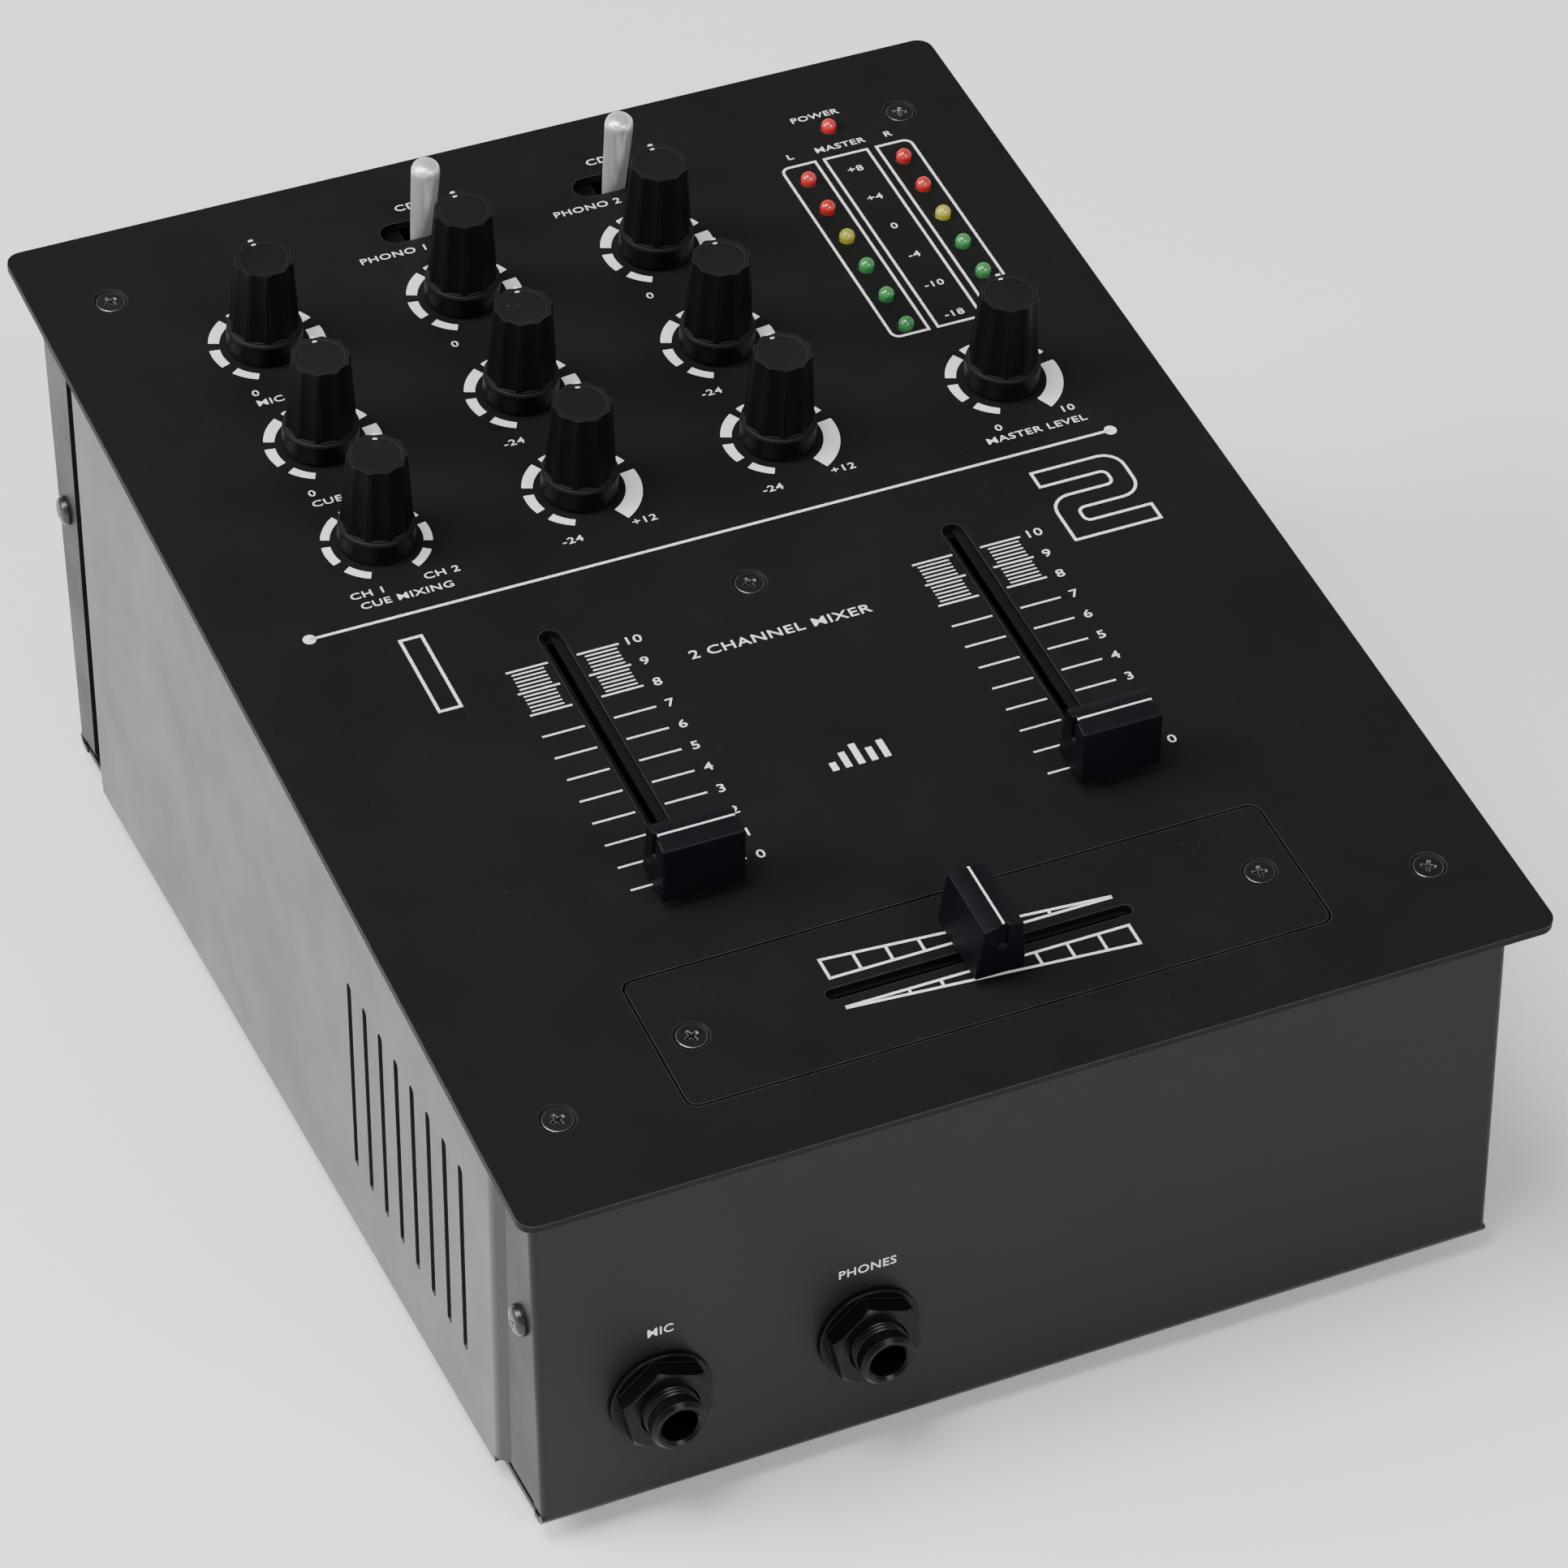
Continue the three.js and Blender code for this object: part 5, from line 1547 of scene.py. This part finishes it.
def rocker_frame():
    frame_box = block((-6.5, PAN_REAR - 17, -9.5), (6.5, PAN_REAR + 1, 9.5))
    bezel = block((-8, PAN_REAR + 0.05, -11.5), (8, PAN_REAR + 1.8, 11.5))
    choose(bezel, "EDGE", lambda x, y, z: y > PAN_REAR + 1)
    bpy.ops.mesh.bevel(offset=0.5, segments=2)
    bpy.ops.object.mode_set(mode="OBJECT")
    cut(frame_box, [bezel], "UNION")
    cut(frame_box, [block((-5.5, PAN_REAR - 9, -8.6), (5.5, PAN_REAR + 3, 8.6))])
    return softened(frame_box, 0.2, 2, 50)


def rocker_paddle():
    """Its outline from the side: two faces that meet in a shallow valley over the pivot."""
    profile = [(-4, -2), (0.4, -7.8), (2.9, -7.6), (1.7, 0), (2.9, 7.6), (0.4, 7.8), (-4, 2)]
    bpy.ops.mesh.primitive_circle_add(vertices=len(profile), fill_type="NGON")
    paddle = bpy.context.object
    for vertex, (y, z) in zip(paddle.data.vertices, profile):
        vertex.co = (-5, y, z)
    bpy.ops.object.mode_set(mode="EDIT")
    bpy.ops.mesh.select_all(action="SELECT")
    extruded(x=10)
    bpy.ops.mesh.select_all(action="SELECT")
    bpy.ops.mesh.normals_make_consistent(inside=False)
    bpy.ops.object.mode_set(mode="OBJECT")
    return softened(paddle, 0.35, 3, 20)


def rocker_marks():
    """The usual stroke and ring for on and off, printed on the paddle's two faces."""
    lean = math.atan2(1.2, 7.6)
    stroke = placed(inked([bar(-0.35, -1.6, 0.35, 1.6)]), z=0.03)
    ring = placed(inked([framed(dot(0, 0, 1.6), 0.45)]), z=0.03)
    upper = Matrix.Rotation(math.pi, 4, "Z") @ Matrix.Rotation(math.pi / 2 + lean, 4, "X")
    lower = Matrix.Rotation(math.pi, 4, "Z") @ Matrix.Rotation(math.pi / 2 - lean, 4, "X")
    placed(stroke, 0, 1.7 + 0.63, 4, upper)
    placed(ring, 0, 1.7 + 0.63, -4, lower)
    return joined([stroke, ring])


x, z = ROCKER
complete(placed(rocker_frame(), x, 0, z), "rocker_frame", CASE, NYLON,
         stands_for=["power_switch_frame"])
for model, kind, material, slot, nodes in (
        (rocker_paddle(), "rocker_paddle", NYLON, "black_nylon", ["power_switch_rocker"]),
        (rocker_marks(), "rocker_marks", WHITE_INK, "white_print", [])):
    tilted = Matrix.Rotation(ROCKER_TILT, 4, "X")
    complete(placed(model, x, ROCKER_PIVOT, z, tilted), kind, CASE, material,
             body="power_switch", stands_for=nodes)


def inlet_shell():
    """A square body behind the wall, with a round nose and the plug's bore."""
    shell = softened(block((-6, -6, -13.5), (6, 6, -1.5)), 0.4)
    cut(shell, [turned([(4, -2), (4, 1.1), (3.7, 1.5)], 40)], "UNION")
    cut(shell, [turned([(3, -9), (3, 1), (3.4, 2)], 40)])
    return shell


def inlet_pin():
    return turned([(1, -9.5), (1, 0.1), (0.85, 0.45), (0.4, 0.6)], 24)


x, z = INLET
complete(placed(placed(inlet_shell(), turn=TO_REAR), x, PAN_REAR, z), "inlet_shell", CASE, NYLON,
         stands_for=["power_inlet"])
complete(placed(placed(inlet_pin(), turn=TO_REAR), x, PAN_REAR, z), "inlet_pin", CASE,
         SOCKET_NICKEL)

# ---------------------------------------------------------------------------------------------
# Ground terminal. A threaded nickel post through the rear wall, with a hexagon collar and a
# knurled thumb nut that is screwed down on a record deck's earth lead.
# ---------------------------------------------------------------------------------------------
def ground_post():
    rings = [(2, -8), (2, 1.5)] + threaded(2, 1.5, 10.9, 0.6, 0.18) + [(1.5, 11.5)]
    post = turned(rings, 32)
    cut(post, [rod(3.4, 0.05, 1.2, 6)], "UNION")
    return post


def thumb_nut():
    nut = turned([(4.4, 2.2), (4.9, 2.6), (4.9, 6.9), (4.4, 7.5), (3.2, 7.6)], 36)
    grooves = []
    for i in range(18):
        groove = rod(0.42, 1.9, 8.1, 6)
        angle = (i + 0.23) * math.pi / 9
        grooves.append(placed(groove, 4.98 * math.cos(angle), 4.98 * math.sin(angle), 0))
    cut(nut, grooves)
    return cut(nut, [turned([(2.15, 2), (2.15, 7.2), (2.5, 7.8)], 32)])


x, z = GROUND
complete(placed(placed(ground_post(), turn=TO_REAR), x, PAN_REAR, z), "threaded_ground_post",
         CASE, SOCKET_NICKEL, stands_for=["ground_post"])
complete(placed(placed(thumb_nut(), turn=TO_REAR), x, PAN_REAR, z), "knurled_thumb_nut", CASE,
         SOCKET_NICKEL, body="ground_terminal_nut", stands_for=["ground_nut"])

# ---------------------------------------------------------------------------------------------
# Printing on the rear wall. White labels for the sockets, the switch, the inlet and the earth.
# ---------------------------------------------------------------------------------------------
def rear_labels():
    """Seen from behind, so that what is on the left there has the larger x."""
    printed = []
    top = SOCKET_Z + SOCKET_PITCH / 2 + 6.5
    for name, label in (("output", "OUTPUT"), ("channel_2", "CH 2"), ("channel_1", "CH 1")):
        x = -SOCKET_X[name]
        printed.append(lettering(label, x, top + 3.6, 2.2))
        printed.append(lettering("R", x - SOCKET_PITCH / 2, top, 1.8))
        printed.append(lettering("L", x + SOCKET_PITCH / 2, top, 1.8))
        rows = ("MASTER", "REC") if name == "output" else ("PHONO", "CD")
        for row, j in zip(rows, (1, -1)):
            printed.append(lettering(row, x, SOCKET_Z + j * SOCKET_PITCH / 2 - 5.7, 1.4))
    printed.append(lettering("POWER", -ROCKER[0], ROCKER[1] + 14, 1.8))
    printed.append(lettering("DC IN", -INLET[0], INLET[1] - 8, 1.8))
    printed.append(lettering("GND", -GROUND[0], GROUND[1] + 8, 1.8))
    return printed


rear_print = placed(inked(rear_labels()), turn=TO_FRONT)
placed(rear_print, 0, PAN_REAR, 0, Matrix.Rotation(math.pi, 4, "Z"))
complete(rear_print, "rear_printing", CASE, WHITE_INK)
